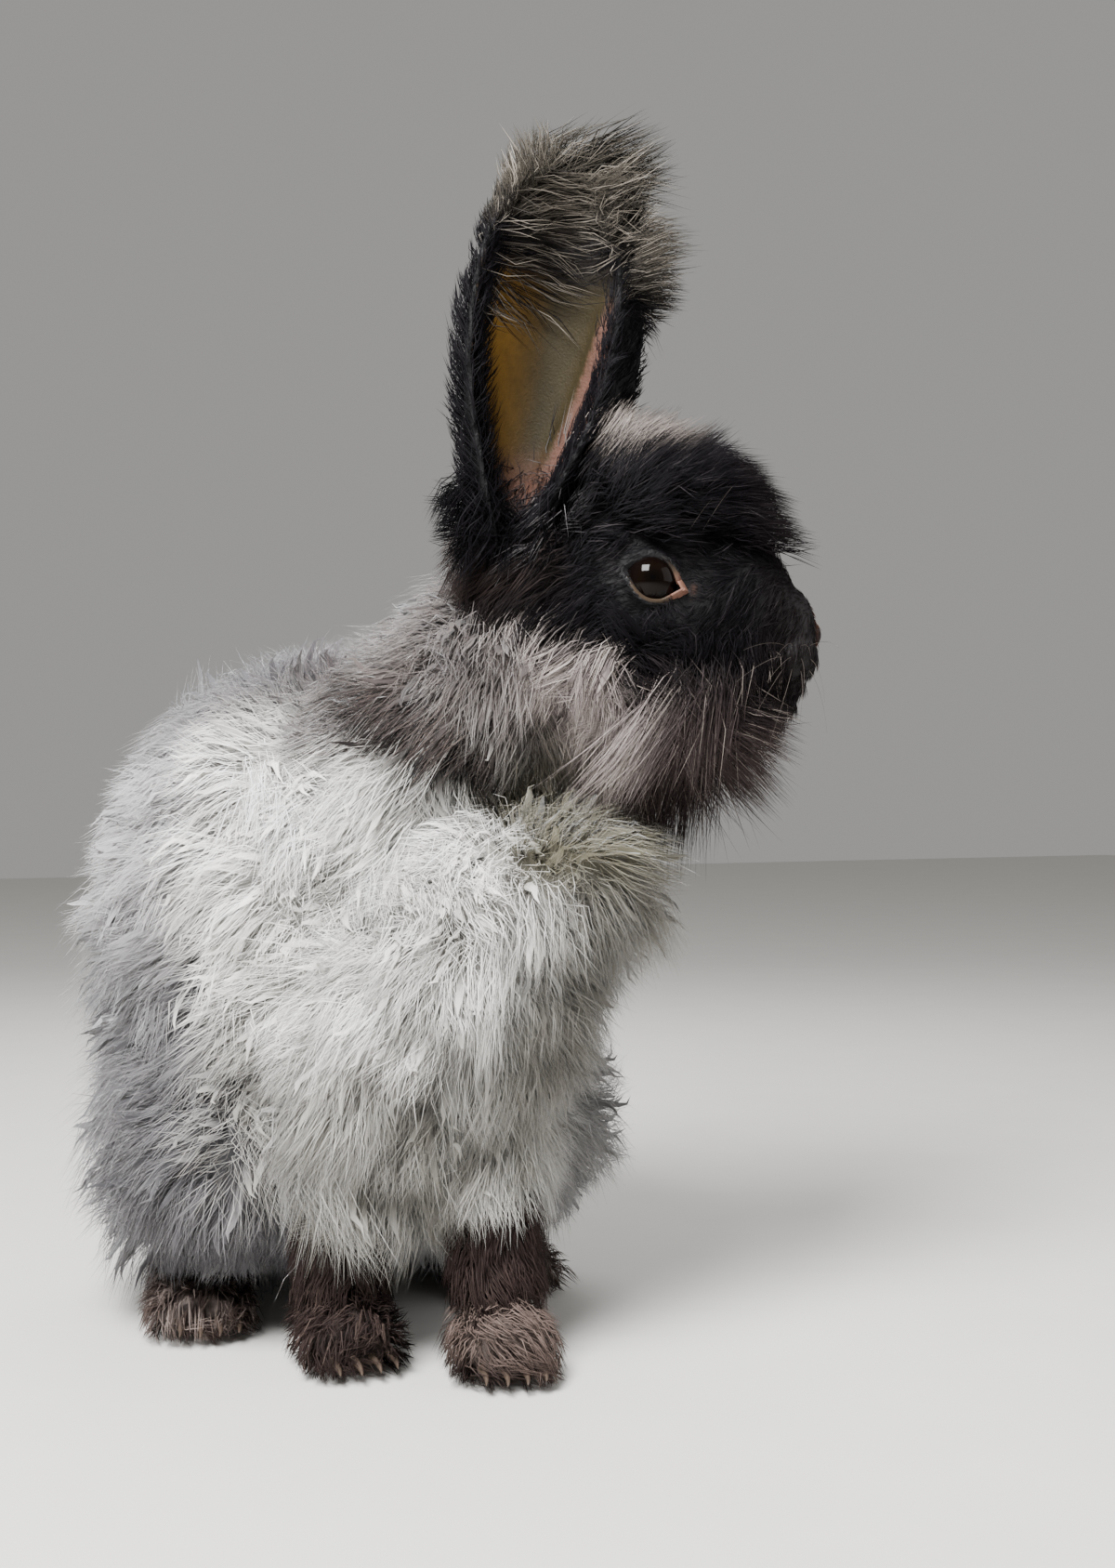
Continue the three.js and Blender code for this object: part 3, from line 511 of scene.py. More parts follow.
@dataclass(frozen=True)
class Finish:
    """A surface coloured by the piece's own painted markings, broken up by noise and roughened by bump.

    On hair the noise is drawn out along each lock and strand; on skin it is as wide as it is long.
    """

    name: str
    roughness: float
    sheen: float = 0.0
    sheen_roughness: float = 0.5
    specular: float = 0.5
    grain: float = 2.0  # mm between the patches of lighter and darker colour
    contrast: float = 0.12
    bump: float = 0.0  # mm
    pores: float = 0.6  # mm between the bumps
    glow: float = 0.0  # share of light that passes on through neighbouring strands
    glow_reach: tuple[float, float, float] = (0.0006, 0.00055, 0.0005)  # m, for red, green and blue
    hairy: bool = False
    drawn_out: float = 20.0  # how many times longer the noise is along a strand than across

    def material(self) -> bpy.types.Material:
        """The finish as a node material.

        Returns:
            The material, ready to append.
        """
        made = bpy.data.materials.new(self.name)
        made.use_nodes = True
        tree = made.node_tree
        tree.nodes.clear()
        painted = node(tree, "ShaderNodeAttribute", attribute_name="marking")
        if self.hairy:
            lay = node(tree, "ShaderNodeAttribute", attribute_name="lay")
            longer = (1, 1, 1 / self.drawn_out)
            stretch = node(tree, "ShaderNodeMapping", {"Vector": lay.outputs["Vector"], "Scale": longer})
            place = stretch.outputs["Vector"]
        else:
            place = node(tree, "ShaderNodeTexCoord").outputs["Object"]
        unit_scale = 1.0 if self.hairy else 1 / MM  # lay is in millimetres, and Object coordinates in metres
        cloudy = {"Vector": place, "Scale": unit_scale / self.grain, "Detail": 3.0, "Roughness": 0.6}
        patches = node(tree, "ShaderNodeTexNoise", cloudy)
        span = {"To Min": 1 - self.contrast * 2, "To Max": 1 + self.contrast * 2}
        spread = node(tree, "ShaderNodeMapRange", {"Value": patches.outputs["Fac"], **span})
        tinted = {0: painted.outputs["Color"], 1: spread.outputs["Result"]}
        colour = node(tree, "ShaderNodeVectorMath", tinted, operation="MULTIPLY")
        surface = {
            "Base Color": colour.outputs["Vector"],
            "Roughness": self.roughness,
            "Specular IOR Level": self.specular,
            "Sheen Weight": self.sheen,
            "Sheen Roughness": self.sheen_roughness,
            "Subsurface Weight": self.glow,
            "Subsurface Radius": self.glow_reach,
            "Subsurface Scale": 1.0,
        }
        shader = node(tree, "ShaderNodeBsdfPrincipled", surface)
        if self.bump:
            fine = {"Vector": place, "Scale": unit_scale / self.pores, "Detail": 2.0}
            pits = node(tree, "ShaderNodeTexNoise", fine)
            height = {"Height": pits.outputs["Fac"], "Strength": 0.8, "Distance": self.bump * MM}
            relief = node(tree, "ShaderNodeBump", height)
            tree.links.new(relief.outputs["Normal"], shader.inputs["Normal"])
        node(tree, "ShaderNodeOutputMaterial", {"Surface": shader.outputs["BSDF"]})
        return made


# Angora wool is dull and fine. Sheen pales the form's edges, and glow takes the hard edge off each strand.
ANGORA_WOOL = Finish(
    "angora_wool", roughness=0.8, sheen=0.35, sheen_roughness=0.4, specular=0.15, grain=0.7, contrast=0.07,
    bump=0.25, pores=0.45, glow=0.28, hairy=True,
)
# Short guard hair is sleeker but almost black, so only a weak shine parts one strand from the next.
DARK_HAIR = Finish(
    "short_dark_hair", roughness=0.6, sheen=0.0, sheen_roughness=0.4, specular=0.06, grain=0.7, contrast=0.3,
    bump=0.25, pores=0.45, hairy=True,
)
# Skin and undercoat are matt and uneven; painted darker, they read as shade between the locks, and as soft
# leather in the ears.
UNDERCOAT = Finish("skin_and_undercoat", roughness=0.7, specular=0.25, contrast=0.14, bump=0.25, pores=0.7)
# The rim of the lids is bare, moist skin with a soft gleam.
LID_SKIN = Finish("moist_lid_skin", roughness=0.42, specular=0.2, grain=0.8, bump=0.06, pores=0.4)
# The floor is matt paper, so that it stays even and pale.
FLOOR_PAPER = Finish("pale_floor", roughness=0.8, contrast=0.02, grain=40)


@dataclass(frozen=True)
class Horn:
    """Keratin in two shades that drift into each other."""

    name: str
    dark: str
    light: str
    scale: float  # patches in a metre
    detail: float
    roughness: float

    def material(self) -> bpy.types.Material:
        """The horn as a node material.

        Returns:
            The material, ready to append.
        """
        made = bpy.data.materials.new(self.name)
        made.use_nodes = True
        tree = made.node_tree
        shader = tree.nodes["Principled BSDF"]
        place = node(tree, "ShaderNodeTexCoord").outputs["Object"]
        drift = {"Vector": place, "Scale": self.scale, "Detail": self.detail}
        noise = node(tree, "ShaderNodeTexNoise", drift)
        ramp = node(tree, "ShaderNodeValToRGB", {"Fac": noise.outputs["Fac"]})
        set_stops(ramp.color_ramp, ((0.0, self.dark), (1.0, self.light)))
        tree.links.new(ramp.outputs["Color"], shader.inputs["Base Color"])
        shader.inputs["Roughness"].default_value = self.roughness
        return made


# Whiskers are smooth, half grey bristles that catch a thin line of light.
BRISTLE = Horn("whisker_bristle", "#241f1d", "#5f5751", 60.0, 2.0, 0.35)
# Claws are dark brown horn, worn a little dull, with faint growth lines.
CLAW_HORN = Horn("claw_horn", "#241c18", "#5b4d42", 900.0, 3.0, 0.4)


@dataclass
class Spots:
    """Places on the skin, with what the coat and the markings need to know of each."""

    point: np.ndarray
    out: np.ndarray
    parts: np.ndarray  # weight of each Part
    ear: np.ndarray  # share along, across, and 1 on the inner face

    def at(self, chosen: np.ndarray) -> "Spots":
        """Only the chosen spots."""
        return Spots(self.point[chosen], self.out[chosen], self.parts[chosen], self.ear[chosen])

    def part(self, *names: Part) -> np.ndarray:
        """The weight of those parts at each spot."""
        return sum(self.parts[:, name.value] for name in names)

    @property
    def head(self) -> np.ndarray:
        """The spots in head coordinates."""
        return to_head(self.point)


def almond() -> tuple[np.ndarray, np.ndarray, np.ndarray]:
    """The opening between the lids, flat, from two bent edges that meet in its corners.

    Returns:
        Places along it in mm, and its upper and lower edge there.
    """
    rear, front, height = -9.0, 10.9, 14.4
    # Where each edge is fullest, and the lower one's depth
    upper_pull, lower_pull, lower_share = -2.6, 1.2, 0.94
    t = np.linspace(0, 1, 60)
    rise = 2 * t * (1 - t) * height
    along = np.linspace(rear, front, 90)
    upper = (1 - t) ** 2 * rear + 2 * t * (1 - t) * upper_pull + t**2 * front
    lower = (1 - t) ** 2 * rear + 2 * t * (1 - t) * lower_pull + t**2 * front
    return along, np.interp(along, upper, rise), -np.interp(along, lower, rise * lower_share)


def lid_depth(head: np.ndarray) -> np.ndarray:
    """How far inside the opening between the lids points lie, seen from their own side of the head.

    Args:
        head: Head points.

    Returns:
        Millimetres, less than 0 outside the opening.
    """
    far = -20.0  # for points deep in the head
    ahead, out, up = head[:, 0] - EYE_PLACE[0], np.abs(head[:, 1]) - EYE_PLACE[1], head[:, 2] - EYE_PLACE[2]
    x = ahead * math.cos(LID_TILT) + up * math.sin(LID_TILT)
    z = -ahead * math.sin(LID_TILT) + up * math.cos(LID_TILT)
    along, top, low = almond()
    inside = np.minimum(np.interp(x, along, top) - z, z - np.interp(x, along, low))
    ends = np.minimum(x - along[0], along[-1] - x)
    depth = np.where(ends < 0, np.minimum(ends, inside), inside)
    return np.where(out > 0, depth, far)


def ragged(points: np.ndarray, size: float) -> np.ndarray:
    """A smooth uneven pattern over body points.

    Args:
        points: Body points.
        size: About how many mm its waves are long.

    Returns:
        From about -1 to 1 at each point.
    """
    waves = np.array(
        [[1.0, 0.3, 0.6], [-0.5, 1.1, 0.4], [0.4, -0.7, 1.2], [1.3, 0.9, -0.8], [-1.1, 0.5, 1.6]]
    )
    phases = np.array([0.0, 1.7, 3.1, 4.4, 5.2])
    return np.sin(points @ (waves.T * 2 * math.pi / size) + phases).sum(axis=1) / 2.5


def wandering(points: np.ndarray, size: float) -> np.ndarray:
    """A smooth uneven field of directions, about one unit long."""
    return np.stack([ragged(points + shift, size) for shift in (0, 17.3, 41.9)], -1)


class Markings:
    """The colours of skin and coat, by place on the body in mm and by part."""

    def colour(self, spots: Spots) -> np.ndarray:
        """The coat's colour.

        Args:
            spots: Places on the skin, or the tips of hairs rooted there.

        Returns:
            Linear red, green and blue at each.
        """
        x, y, z = spots.point.T
        ahead, _, up = spots.head.T
        fine, broad = ragged(spots.point, 9), ragged(spots.point, 34)
        colour = np.tile(linear("#616063"), (len(x), 1))  # grey wool of the flanks

        def mix(hex_colour: str, weight: np.ndarray) -> None:
            """Moves the colour towards another by the given weight."""
            nonlocal colour
            colour += (linear(hex_colour) - colour) * np.clip(weight, 0, 1)[:, None]

        mix("#7c7a7d", 0.5 + 0.5 * broad)
        mix("#b6b3b4", ease(106, 150, z + broad * 6) * 0.9)
        mix("#302e33", ease(116, 56, z) * ease(10, 50, y) * (0.8 + 0.2 * fine))  # haunches darker low down: greyer wool, and painted shade
        mix("#58565a", ease(172, 196, z + broad * 4) * ease(0, 30, y))  # the back
        mix("#3a3436", ease(172, 190, z + broad * 3) * ease(0, 20, y) * ease(78, 46, y + fine * 4))
        edge = 19 + (z - 60) * 0.275 + broad * 4 + fine * 2
        front = ease(9, -9, y - edge) * ease(202, 184, z)
        mix("#f8f5ef", front)  # white wool of the shoulders and chest
        # grey patches on the middle of the chest: painted shade between the puffs
        mix("#98958f", front * ease(150, 116, z + broad * 8) * (0.3 - 0.45 * broad))
        # darker grey low on the chest: painted shade
        mix("#5d5a51", front * ease(110, 72, z + broad * 8) * (0.68 + 0.3 * broad))
        across = 0.9 * x - 0.44 * y - 0.62 * np.maximum(z - 110, 0)
        shaded = ease(17, 32, across + fine * 3) * ease(60, 82, z)
        mix("#47443c", front * shaded * 0.92)  # painted shade on the chest's left side, away from the light
        # painted shade in a crease across the chest
        painted_crease_shade = ease(34, 10, np.abs(z - 92 - 0.4 * (x - 10))) * ease(-8, 14, x) * ease(40, 25, y)
        mix("#6b6860", front * painted_crease_shade * ease(-0.8, 0.3, broad + fine * 0.3) * 0.75)
        mix("#5f5b4b", front * ease(134, 152, z) * ease(0, 14, x) * ease(14, 2, y))  # in the beard's shade
        mix("#7f7e7e", ease(36, 56, x) * ease(130, 90, z) * 0.7)  # painted shade on the far flank
        mix("#86837f", spots.part(Part.TAIL) * 0.6)
        neck = spots.part(Part.NECK) * ease(172, 190, z + fine * 3)
        mix("#59514d", neck)  # ruff
        mix("#565253", neck * (0.5 + 0.5 * broad))
        mix("#3a3130", neck * ease(0.15, 0.8, fine) * 0.7)
        mix("#948a86", neck * ease(-38, -26, ahead) * ease(-30, -42, up) * 0.75)
        collar = (spots.point - np.array([-2.0, 4.0, 187.0])) @ unit(np.array([0.26, -0.43, 0.86]))
        band = ease(13, 6, np.abs(collar + fine * 2)) * ease(60, 20, y) * ease(-22, -34, ahead)
        mix("#120c0b", spots.part(Part.NECK, Part.TORSO) * band)
        leg = spots.part(Part.FORELEG, Part.FOREPAW, Part.HIND_FOOT) * ease(74, 60, z)
        mix("#2b2220", leg)
        mix("#665750", leg * ease(0.2, 0.9, fine) * ease(30, 12, z) * 0.5)
        mix("#8a7c76", spots.part(Part.HIND_FOOT) * ease(0.0, 0.6, -fine) * 0.85)
        mix("#665852", spots.part(Part.FOREPAW) * ease(4, 12, z) * ease(34, 24, z) * ease(-12, -4, x) * 0.8)
        self.head(mix, spots, fine)
        ear = spots.part(Part.EAR)
        mix("#0c0a0d", ear)
        mix("#3c3832", ear * ease(0.76, 0.93, spots.ear[:, 0] + fine * 0.05))  # the greyer tips
        return colour

    def head(self, mix: Callable[[str, np.ndarray], None], spots: Spots, fine: np.ndarray) -> None:
        """Adds the head's own colours: black face, tan crown, pale cheek fringe and dark streaky beard.

        Args:
            mix: Moves the colour towards a hex colour by a weight.
            spots: The places.
            fine: The fine uneven pattern there.
        """
        ahead, left, up = spots.head.T
        head = spots.part(Part.HEAD)
        mix("#0a080b", head)
        crown = ease(44, 52, up + fine * 4) * ease(42, 24, ahead + fine * 6) * ease(-12, -2, ahead)
        mix("#857c76", head * crown)
        mix("#2c2422", head * ease(-12, -24, ahead) * ease(-16, 4, up))  # long dark hair behind the ear
        line = -24 - 0.7 * np.maximum(ahead + 4, 0) + fine * 5
        fringe = head * ease(5, -6, up - line) * ease(16, 6, ahead + fine * 5)
        mix("#9a8f8d", fringe)
        mix("#c9beb8", fringe * ease(-0.1, 0.5, fine) * 0.9)
        mix("#3a302f", fringe * ease(-0.3, -0.9, fine) * 0.8)
        beard = head * ease(-26, -54, up + fine * 8) * ease(3, 12, ahead + fine * 5)
        mix("#3a3131", beard)
        mix("#7a6f6d", beard * ease(0.4, 0.95, fine) * 0.45)
        mix("#2a2221", beard * ease(-62, -74, up))
        mix("#130e0f", head * ease(44, 56, ahead) * ease(-40, -28, up))  # muzzle
        nose = head * ease(66, 69, ahead) * ease(-20, -14, up) * ease(-2, -7, up) * ease(8, 4, np.abs(left))
        mix("#5d3523", nose * 0.8)  # the tan tip of the nose


@dataclass
class Skin:
    """One skin over all the flesh, inside the frame's solids by the depth of the short coat or the core.

    Sizes are in mm, and each under is how far the skin lies outside the solids' own sizes.
    """

    space: Space
    under_wool: float = -4.0
    under_tail: float = -5.0
    under_fur: float = -3.0
    under_head: float = -1.8
    under_face: float = -1.2
    under_nose: float = -0.5
    lid_bulge: float = 1.6
    eye_sink: float = 2.2  # how far below the eyeball's surface the opened skin lies
    grain: float = 1.15  # of the joined surface
    kept: float = 0.42  # share of the faces that stay where wool covers them
    shade: float = 0.55  # painted shade: brightness of the skin against the coat over it, so the gaps between locks read as depth

    def forms(self) -> list[tuple[Part, np.ndarray, np.ndarray, np.ndarray]]:
        """The closed bodies that the skin covers.

        Returns:
            For each its part, points, triangles and the place of each point on an ear.
        """
        made = []

        def add(part: Part, points: np.ndarray, faces: np.ndarray, facts: np.ndarray | None = None) -> None:
            """Keeps a form, with no place on an ear where none is given."""
            made.append((part, points, faces, np.zeros((len(points), 3)) if facts is None else facts))

        across = (1, 0, 0)
        wool = self.under_wool
        add(Part.TORSO, *loft(TORSO, across, (9, 7), 2.15, (0, 0, 1), wool))
        add(Part.CHEST, *loft(CHEST, across, (12, 11), 2, (0, 0, 1), wool))
        add(Part.NECK, *loft(NECK, across, (12, 12), 2, None, wool))
        add(Part.TAIL, *ball(**TAIL, grow=self.under_tail))
        for side, sign in SIDES.items():
            (out, back, rise), (pitch, roll, yaw) = HAUNCH["middle"], HAUNCH["turn"]
            turn = (pitch, roll, sign * yaw)
            add(Part.HAUNCH, *ball((sign * out, back, rise), HAUNCH["halves"], turn, wool))
            self.add_legs(side, add)
            add(Part.EAR, *Ear(side).leaf())
        for points, faces in self.head_forms():
            add(Part.HEAD, in_head(points), faces)
        return made

    def add_legs(self, side: str, add: Callable[..., None]) -> None:
        """Makes the legs and feet of one side.

        Args:
            side: Which side.
            add: Keeps a form.
        """

        def halfway(a: tuple, b: tuple) -> tuple[float, float]:
            """The place between two, seen from above."""
            return (a[0] + b[0]) / 2, (a[1] + b[1]) / 2

        elbow, wrist, toes = (FORELEGS[side][key] for key in ("elbow", "wrist", "toes"))
        leg = [[*elbow, 16, 17, 18], [*halfway(elbow, wrist), 56, 14, 14, 15], [*wrist, 14, 13.5, 14]]
        add(Part.FORELEG, *loft(leg, (1, 0, 0), (8, 6), grow=self.under_wool))
        paw = [
            [wrist[0], wrist[1] + 3, 11, 13, 14, 13],
            [*halfway(wrist, toes), 9, 14.5, 13, 11],
            [toes[0], toes[1] + 7, 6.5, 13.5, 8.5, 8],
        ]
        add(Part.FOREPAW, *loft(paw, (-1, 0, 0), (9, 7), grow=self.under_fur))
        heel, toes = HIND_FEET[side]["heel"], HIND_FEET[side]["toes"]
        foot = [
            [*heel, 12, 12, 14, 14],
            [*halfway(heel, toes), 10, 14.5, 14, 12],
            [toes[0], toes[1] + 8, 7.5, 16, 10, 9],
        ]
        add(Part.HIND_FOOT, *loft(foot, (-1, 0, 0), (12, 8), grow=self.under_fur))

    def head_forms(self) -> list[tuple[np.ndarray, np.ndarray]]:
        """The skull, muzzle, chin, nose and lids, in head coordinates.

        Returns:
            Points and triangles of each.
        """
        made = [loft(SKULL, (0, -1, 0), (10, 8), 2, (1, 0, 0), self.under_head, rings=40, sides=56)]
        ahead, out, up = MUZZLE["middle"]
        for side in SIDES.values():
            made.append(ball((ahead, side * out, up), MUZZLE["halves"], grow=self.under_face))
        made += [ball(**CHIN, grow=self.under_face), ball(**NOSE, grow=self.under_nose)]
        for side in SIDES.values():
            made.append(ball(eye_middle(side), (EYE_RADIUS + self.lid_bulge,) * 3))
        return made

    def build(self) -> None:
        """Joins the forms into one fine surface and shapes the face."""
        forms = self.forms()
        counts = np.cumsum([0] + [len(points) for _, points, _, _ in forms])
        points = np.vstack([points for _, points, _, _ in forms])
        faces = np.vstack([faces + start for (_, _, faces, _), start in zip(forms, counts)])
        self.object = mesh_object("skin", self.space.row(points), faces)
        remesh = self.object.modifiers.new("remesh", "REMESH")
        remesh.mode = "VOXEL"
        remesh.voxel_size = self.grain * MM
        soften = self.object.modifiers.new("soften", "SMOOTH")
        soften.factor = 0.5
        soften.iterations = 3
        applied(self.object)
        self.thin_out()
        self.shape_face()
        self.read_spots(forms)
        log.info("skin: %d faces", len(self.object.data.polygons))

    def thin_out(self) -> None:
        """Takes points out where wool will cover the skin, and splits the faces into triangles."""
        head = to_head(self.body_points())
        group = self.object.vertex_groups.new(name="wool")
        near_face = ease(-44, -26, head[:, 0]) * ease(-64, -44, head[:, 2]) * ease(60, 40, np.abs(head[:, 1]))
        for index, weight in enumerate(1 - near_face):
            if weight > 0:
                group.add([index], float(weight), "REPLACE")
        fewer = self.object.modifiers.new("fewer", "DECIMATE")
        fewer.ratio = self.kept
        fewer.vertex_group = "wool"
        fewer.use_collapse_triangulate = True
        applied(self.object)
        self.object.vertex_groups.clear()

    def body_points(self) -> np.ndarray:
        """The skin's points in body millimetres.

        Returns:
            One row a point.
        """
        mesh = self.object.data
        flat = np.empty(len(mesh.vertices) * 3, np.float32)
        mesh.vertices.foreach_get("co", flat)
        return flat.reshape(-1, 3).astype(float) / MM + self.space.offset

    def move_points(self, points: np.ndarray) -> None:
        """Moves the skin's points.

        Args:
            points: Their new places in body millimetres.
        """
        mesh = self.object.data
        mesh.vertices.foreach_set("co", self.space.row(points).astype(np.float32).ravel())
        mesh.update()

    def shape_face(self) -> None:
        """Opens the lids, and presses in the mouth, the cleft of the lip and the nostrils."""
        head = to_head(self.body_points())
        beside_eye = 6  # mm past the eyeball that may move
        for side in SIDES.values():
            middle = eye_middle(side)
            from_eye = head - middle
            distance = np.linalg.norm(from_eye, axis=1)
            near = (distance < EYE_RADIUS + beside_eye) & (from_eye[:, 1] * side > 0)
            open_share = ease(-0.7, 0.9, lid_depth(head)) * near
            wanted = distance + (EYE_RADIUS - self.eye_sink - distance) * open_share
            head = middle + from_eye * (wanted / np.maximum(distance, 1e-6))[:, None]
        ahead, left, up = head.T
        mouth = ease(1.6, 0.2, np.abs(up + 27.5 - (ahead - 57) * 0.18)) * ease(44, 50, ahead)
        cleft = ease(1.3, 0.2, np.abs(left)) * ease(-14, -16, up) * ease(-28, -26, up) * ease(58, 62, ahead)
        beside = ease(1.5, 3, np.abs(left)) * ease(6.5, 5, np.abs(left))
        nostril = ease(2.6, 1.0, np.hypot(ahead - 70, (up + 12.2) * 1.2)) * beside
        mouth_deep, cleft_deep, nostril_deep = 1.6, 1.8, 2.2
        head[:, 0] -= np.maximum.reduce([mouth * mouth_deep, cleft * cleft_deep, nostril * nostril_deep])
        self.move_points(in_head(head))

    def read_spots(self, forms: list) -> None:
        """Finds each point's part, normal and place on an ear.

        Args:
            forms: What forms gave.
        """
        softened = 6  # rounds that blend one part into the next
        mesh = self.object.data
        points = self.body_points()
        source = np.vstack([points for _, points, _, _ in forms])
        labels = np.concatenate([np.full(len(points), part.value) for part, points, _, _ in forms])
        facts = np.vstack([facts for _, _, _, facts in forms])
        closest = nearest(source, points)
        parts = np.eye(len(Part))[labels[closest]]
        edges = np.empty(len(mesh.edges) * 2, np.int32)
        mesh.edges.foreach_get("vertices", edges)
        self.edges = edges.reshape(-1, 2)
        parts = self.spread(parts, softened)
        normals = np.empty(len(mesh.vertices) * 3, np.float32)
        mesh.vertices.foreach_get("normal", normals)
        self.spots = Spots(points, normals.reshape(-1, 3).astype(float), parts, facts[closest])
        triangles = np.empty(len(mesh.polygons) * 3, np.int32)
        mesh.polygons.foreach_get("vertices", triangles)
        self.triangles = triangles.reshape(-1, 3)

    def spread(self, values: np.ndarray, rounds: int) -> np.ndarray:
        """Averages values with their neighbours'.

        Args:
            values: One row a point.
            rounds: How many times.

        Returns:
            The averaged values.
        """
        own = 0.4
        a, b = self.edges.T
        ends = np.r_[a, b]
        count = np.bincount(ends, minlength=len(values))[:, None]
        for _ in range(rounds):
            sums = [np.bincount(ends, np.r_[column[b], column[a]], len(values)) for column in values.T]
            values = own * values + (1 - own) * np.stack(sums, -1) / np.maximum(count, 1)
        return values

    def dress(self, markings: Markings) -> None:
        """Paints the skin with the coat's markings, and the bare leather of ears, nose and lids.

        Args:
            markings: The coat's colours.
        """
        spots = self.spots
        # the skin takes the coat's markings, darkened as painted shade under the coat
        colour = markings.colour(spots) * self.shade
        ear = spots.part(Part.EAR) * spots.ear[:, 2]
        share, across, _ = spots.ear.T
        front = across * -np.sign(spots.head[:, 1])
        fold = ease(-0.04, 0.08, front - fold_place(share)) * ease(0.72, 0.6, share)
        # the leather's own olive-brown, painted warmer and brighter towards the rear rim as light shining
        # through the ear
        amber, olive = linear("#7b5a20"), linear("#241d09")
        leather = amber + (olive - amber) * ease(-0.6, 0.2, front)[:, None]
        flesh = np.maximum(fold, ease(0.28, 0.1, share))[:, None]
        leather += (linear("#4e342a") - leather) * flesh
        leather += (linear("#17120e") - leather) * ease(0.66, 0.76, share)[:, None]
        bare = (ear * ease(0.98, 0.85, np.abs(across)))[:, None]
        colour = colour * (1 - bare) + leather * bare
        ahead = spots.head[:, 0]
        nose = spots.part(Part.HEAD) * ease(67, 69, ahead)
        colour += (linear("#1c1210") - colour) * nose[:, None]
        tan_spot = ease(3.4, 1.6, np.linalg.norm(spots.head - np.array([71.5, -2, -17]), axis=1))
        colour += (linear("#7a4028") - colour) * tan_spot[:, None] * 0.8
        lid = spots.part(Part.HEAD) * ease(-3.5, -1, lid_depth(spots.head)) * ease(26, 29, ahead)
        colour += (linear("#54392e") - colour) * lid[:, None]
        paint(self.object, "marking", colour)
        self.object.data.materials.append(UNDERCOAT.material())
        nodes = ["head", "neck", "chest", "torso", "tail"]
        for kind in ("ear", "hind_foot", "haunch", "forepaw", "foreleg"):
            nodes += [f"{kind}_{side}" for side in SIDES]
        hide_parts(*nodes)
        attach(self.object, "root")


@dataclass(frozen=True)
class Growth:
    """One kind of hair, and where and how it grows. Lengths and distances are in mm."""

    name: str
    where: Callable[[Spots], np.ndarray]  # how thickly, from 0 to 1
    flow: Callable[[Spots], np.ndarray]
    count: int
    length: Callable[[Spots], np.ndarray] | float
    width: float
    lift: float  # degrees from the skin at the root
    layback: float = 0.35  # how strongly a strand bends down to the skin
    droop: float = 0.15
    clump: float = 6.0  # between locks
    gather: float = 0.6  # how far a lock's tips come together
    tuft: float = 0.0  # between the larger tufts that locks lean to, or 0 for none
    lean: float = 0.4
    dome: float = 0.0  # how much shorter the hair is at the edge of a larger tuft
    gap: float = 0.0  # how much darker it is painted there, as shade between the tufts
    body: float = 0.0  # girth of the soft solid inside each lock, as a share of the clump, or 0 for none
    curl: float = 0.08  # how far a strand or lock bends to one side
    stray: float = 0.12
    unruly: float = 0.22  # how much locks differ in direction and length
    tone: float = 0.12
    root: float = 0.7  # painted shade: brightness of the roots against the middle
    # painted light: brightness of the tips against the middle
    tip: float = 1.1
    pale: float = 0.0  # share of strands that are lighter
    pale_colour: str = "#8f857e"
    dyed_as: Part | None = None  # the part whose colours it takes, where that isn't the part it grows on
    swirl: float = 0.0  # how strongly its lie wanders
    lumps: float = 0.0  # how much its length rises and falls over the body, with painted light on the swells and painted shade in the hollows
    frizz: float = 0.0  # how far the middle and tip of a strand stray to any side
    softness: float = 0.6  # how far the shading follows the skin below rather than each strand
    rings: int = 2
    seed: int = 1
    slot: str = "wool"


def spikes(lines: np.ndarray, half: np.ndarray, out: np.ndarray, sides: int, flat: float) -> tuple:
    """Closed tapering tubes along lines, each ending in a point.

    Args:
        lines: Tubes × places × 3; the last place is the tip.
        half: Half the width at each place but the tip.
        out: The direction that each tube's back faces.
        sides: Sides of a section.
        flat: Thickness as a share of the width.

    Returns:
        Points, the outward directions there, and the triangles of one tube.
    """
    tubes, places = lines.shape[:2]
    ways = np.empty((tubes, places, 3))
    ways[:, 1:-1] = lines[:, 2:] - lines[:, :-2]
    ways[:, 0] = lines[:, 1] - lines[:, 0]
    ways[:, -1] = lines[:, -1] - lines[:, -2]
    ways = unit(ways)
    side = unit(np.cross(out[:, None] + 1e-3, ways))
    top = np.cross(ways, side)
    turns = np.arange(sides) * 2 * math.pi / sides + math.pi / 2
    around = np.cos(turns)[:, None] * side[:, :-1, None] + np.sin(turns)[:, None] * top[:, :-1, None] * flat
    rings = lines[:, :-1, None] + around * half[..., None, None]
    points = np.concatenate([rings.reshape(tubes, -1, 3), lines[:, -1:]], 1)
    facing = np.concatenate([unit(around).reshape(tubes, -1, 3), ways[:, -1:]], 1)
    faces = [(0, j + 1, j) for j in range(1, sides - 1)]
    for i in range(places - 2):
        for j in range(sides):
            k = (j + 1) % sides
            low, high = i * sides, (i + 1) * sides
            faces += [(low + j, low + k, high + j), (low + k, high + k, high + j)]
    last = (places - 2) * sides
    faces += [(last + j, last + (j + 1) % sides, last + sides) for j in range(sides)]
    return points, facing, np.array(faces)


def nearest(places: np.ndarray, points: np.ndarray) -> np.ndarray:
    """Finds the nearest place to each point.

    Args:
        places: Where to look, in mm.
        points: The points, in mm.

    Returns:
        The index of a place for each point.
    """
    tree = KDTree(len(places))
    for index, place in enumerate(places):
        tree.insert(place, index)
    tree.balance()
    return np.array([tree.find(point)[1] for point in points])


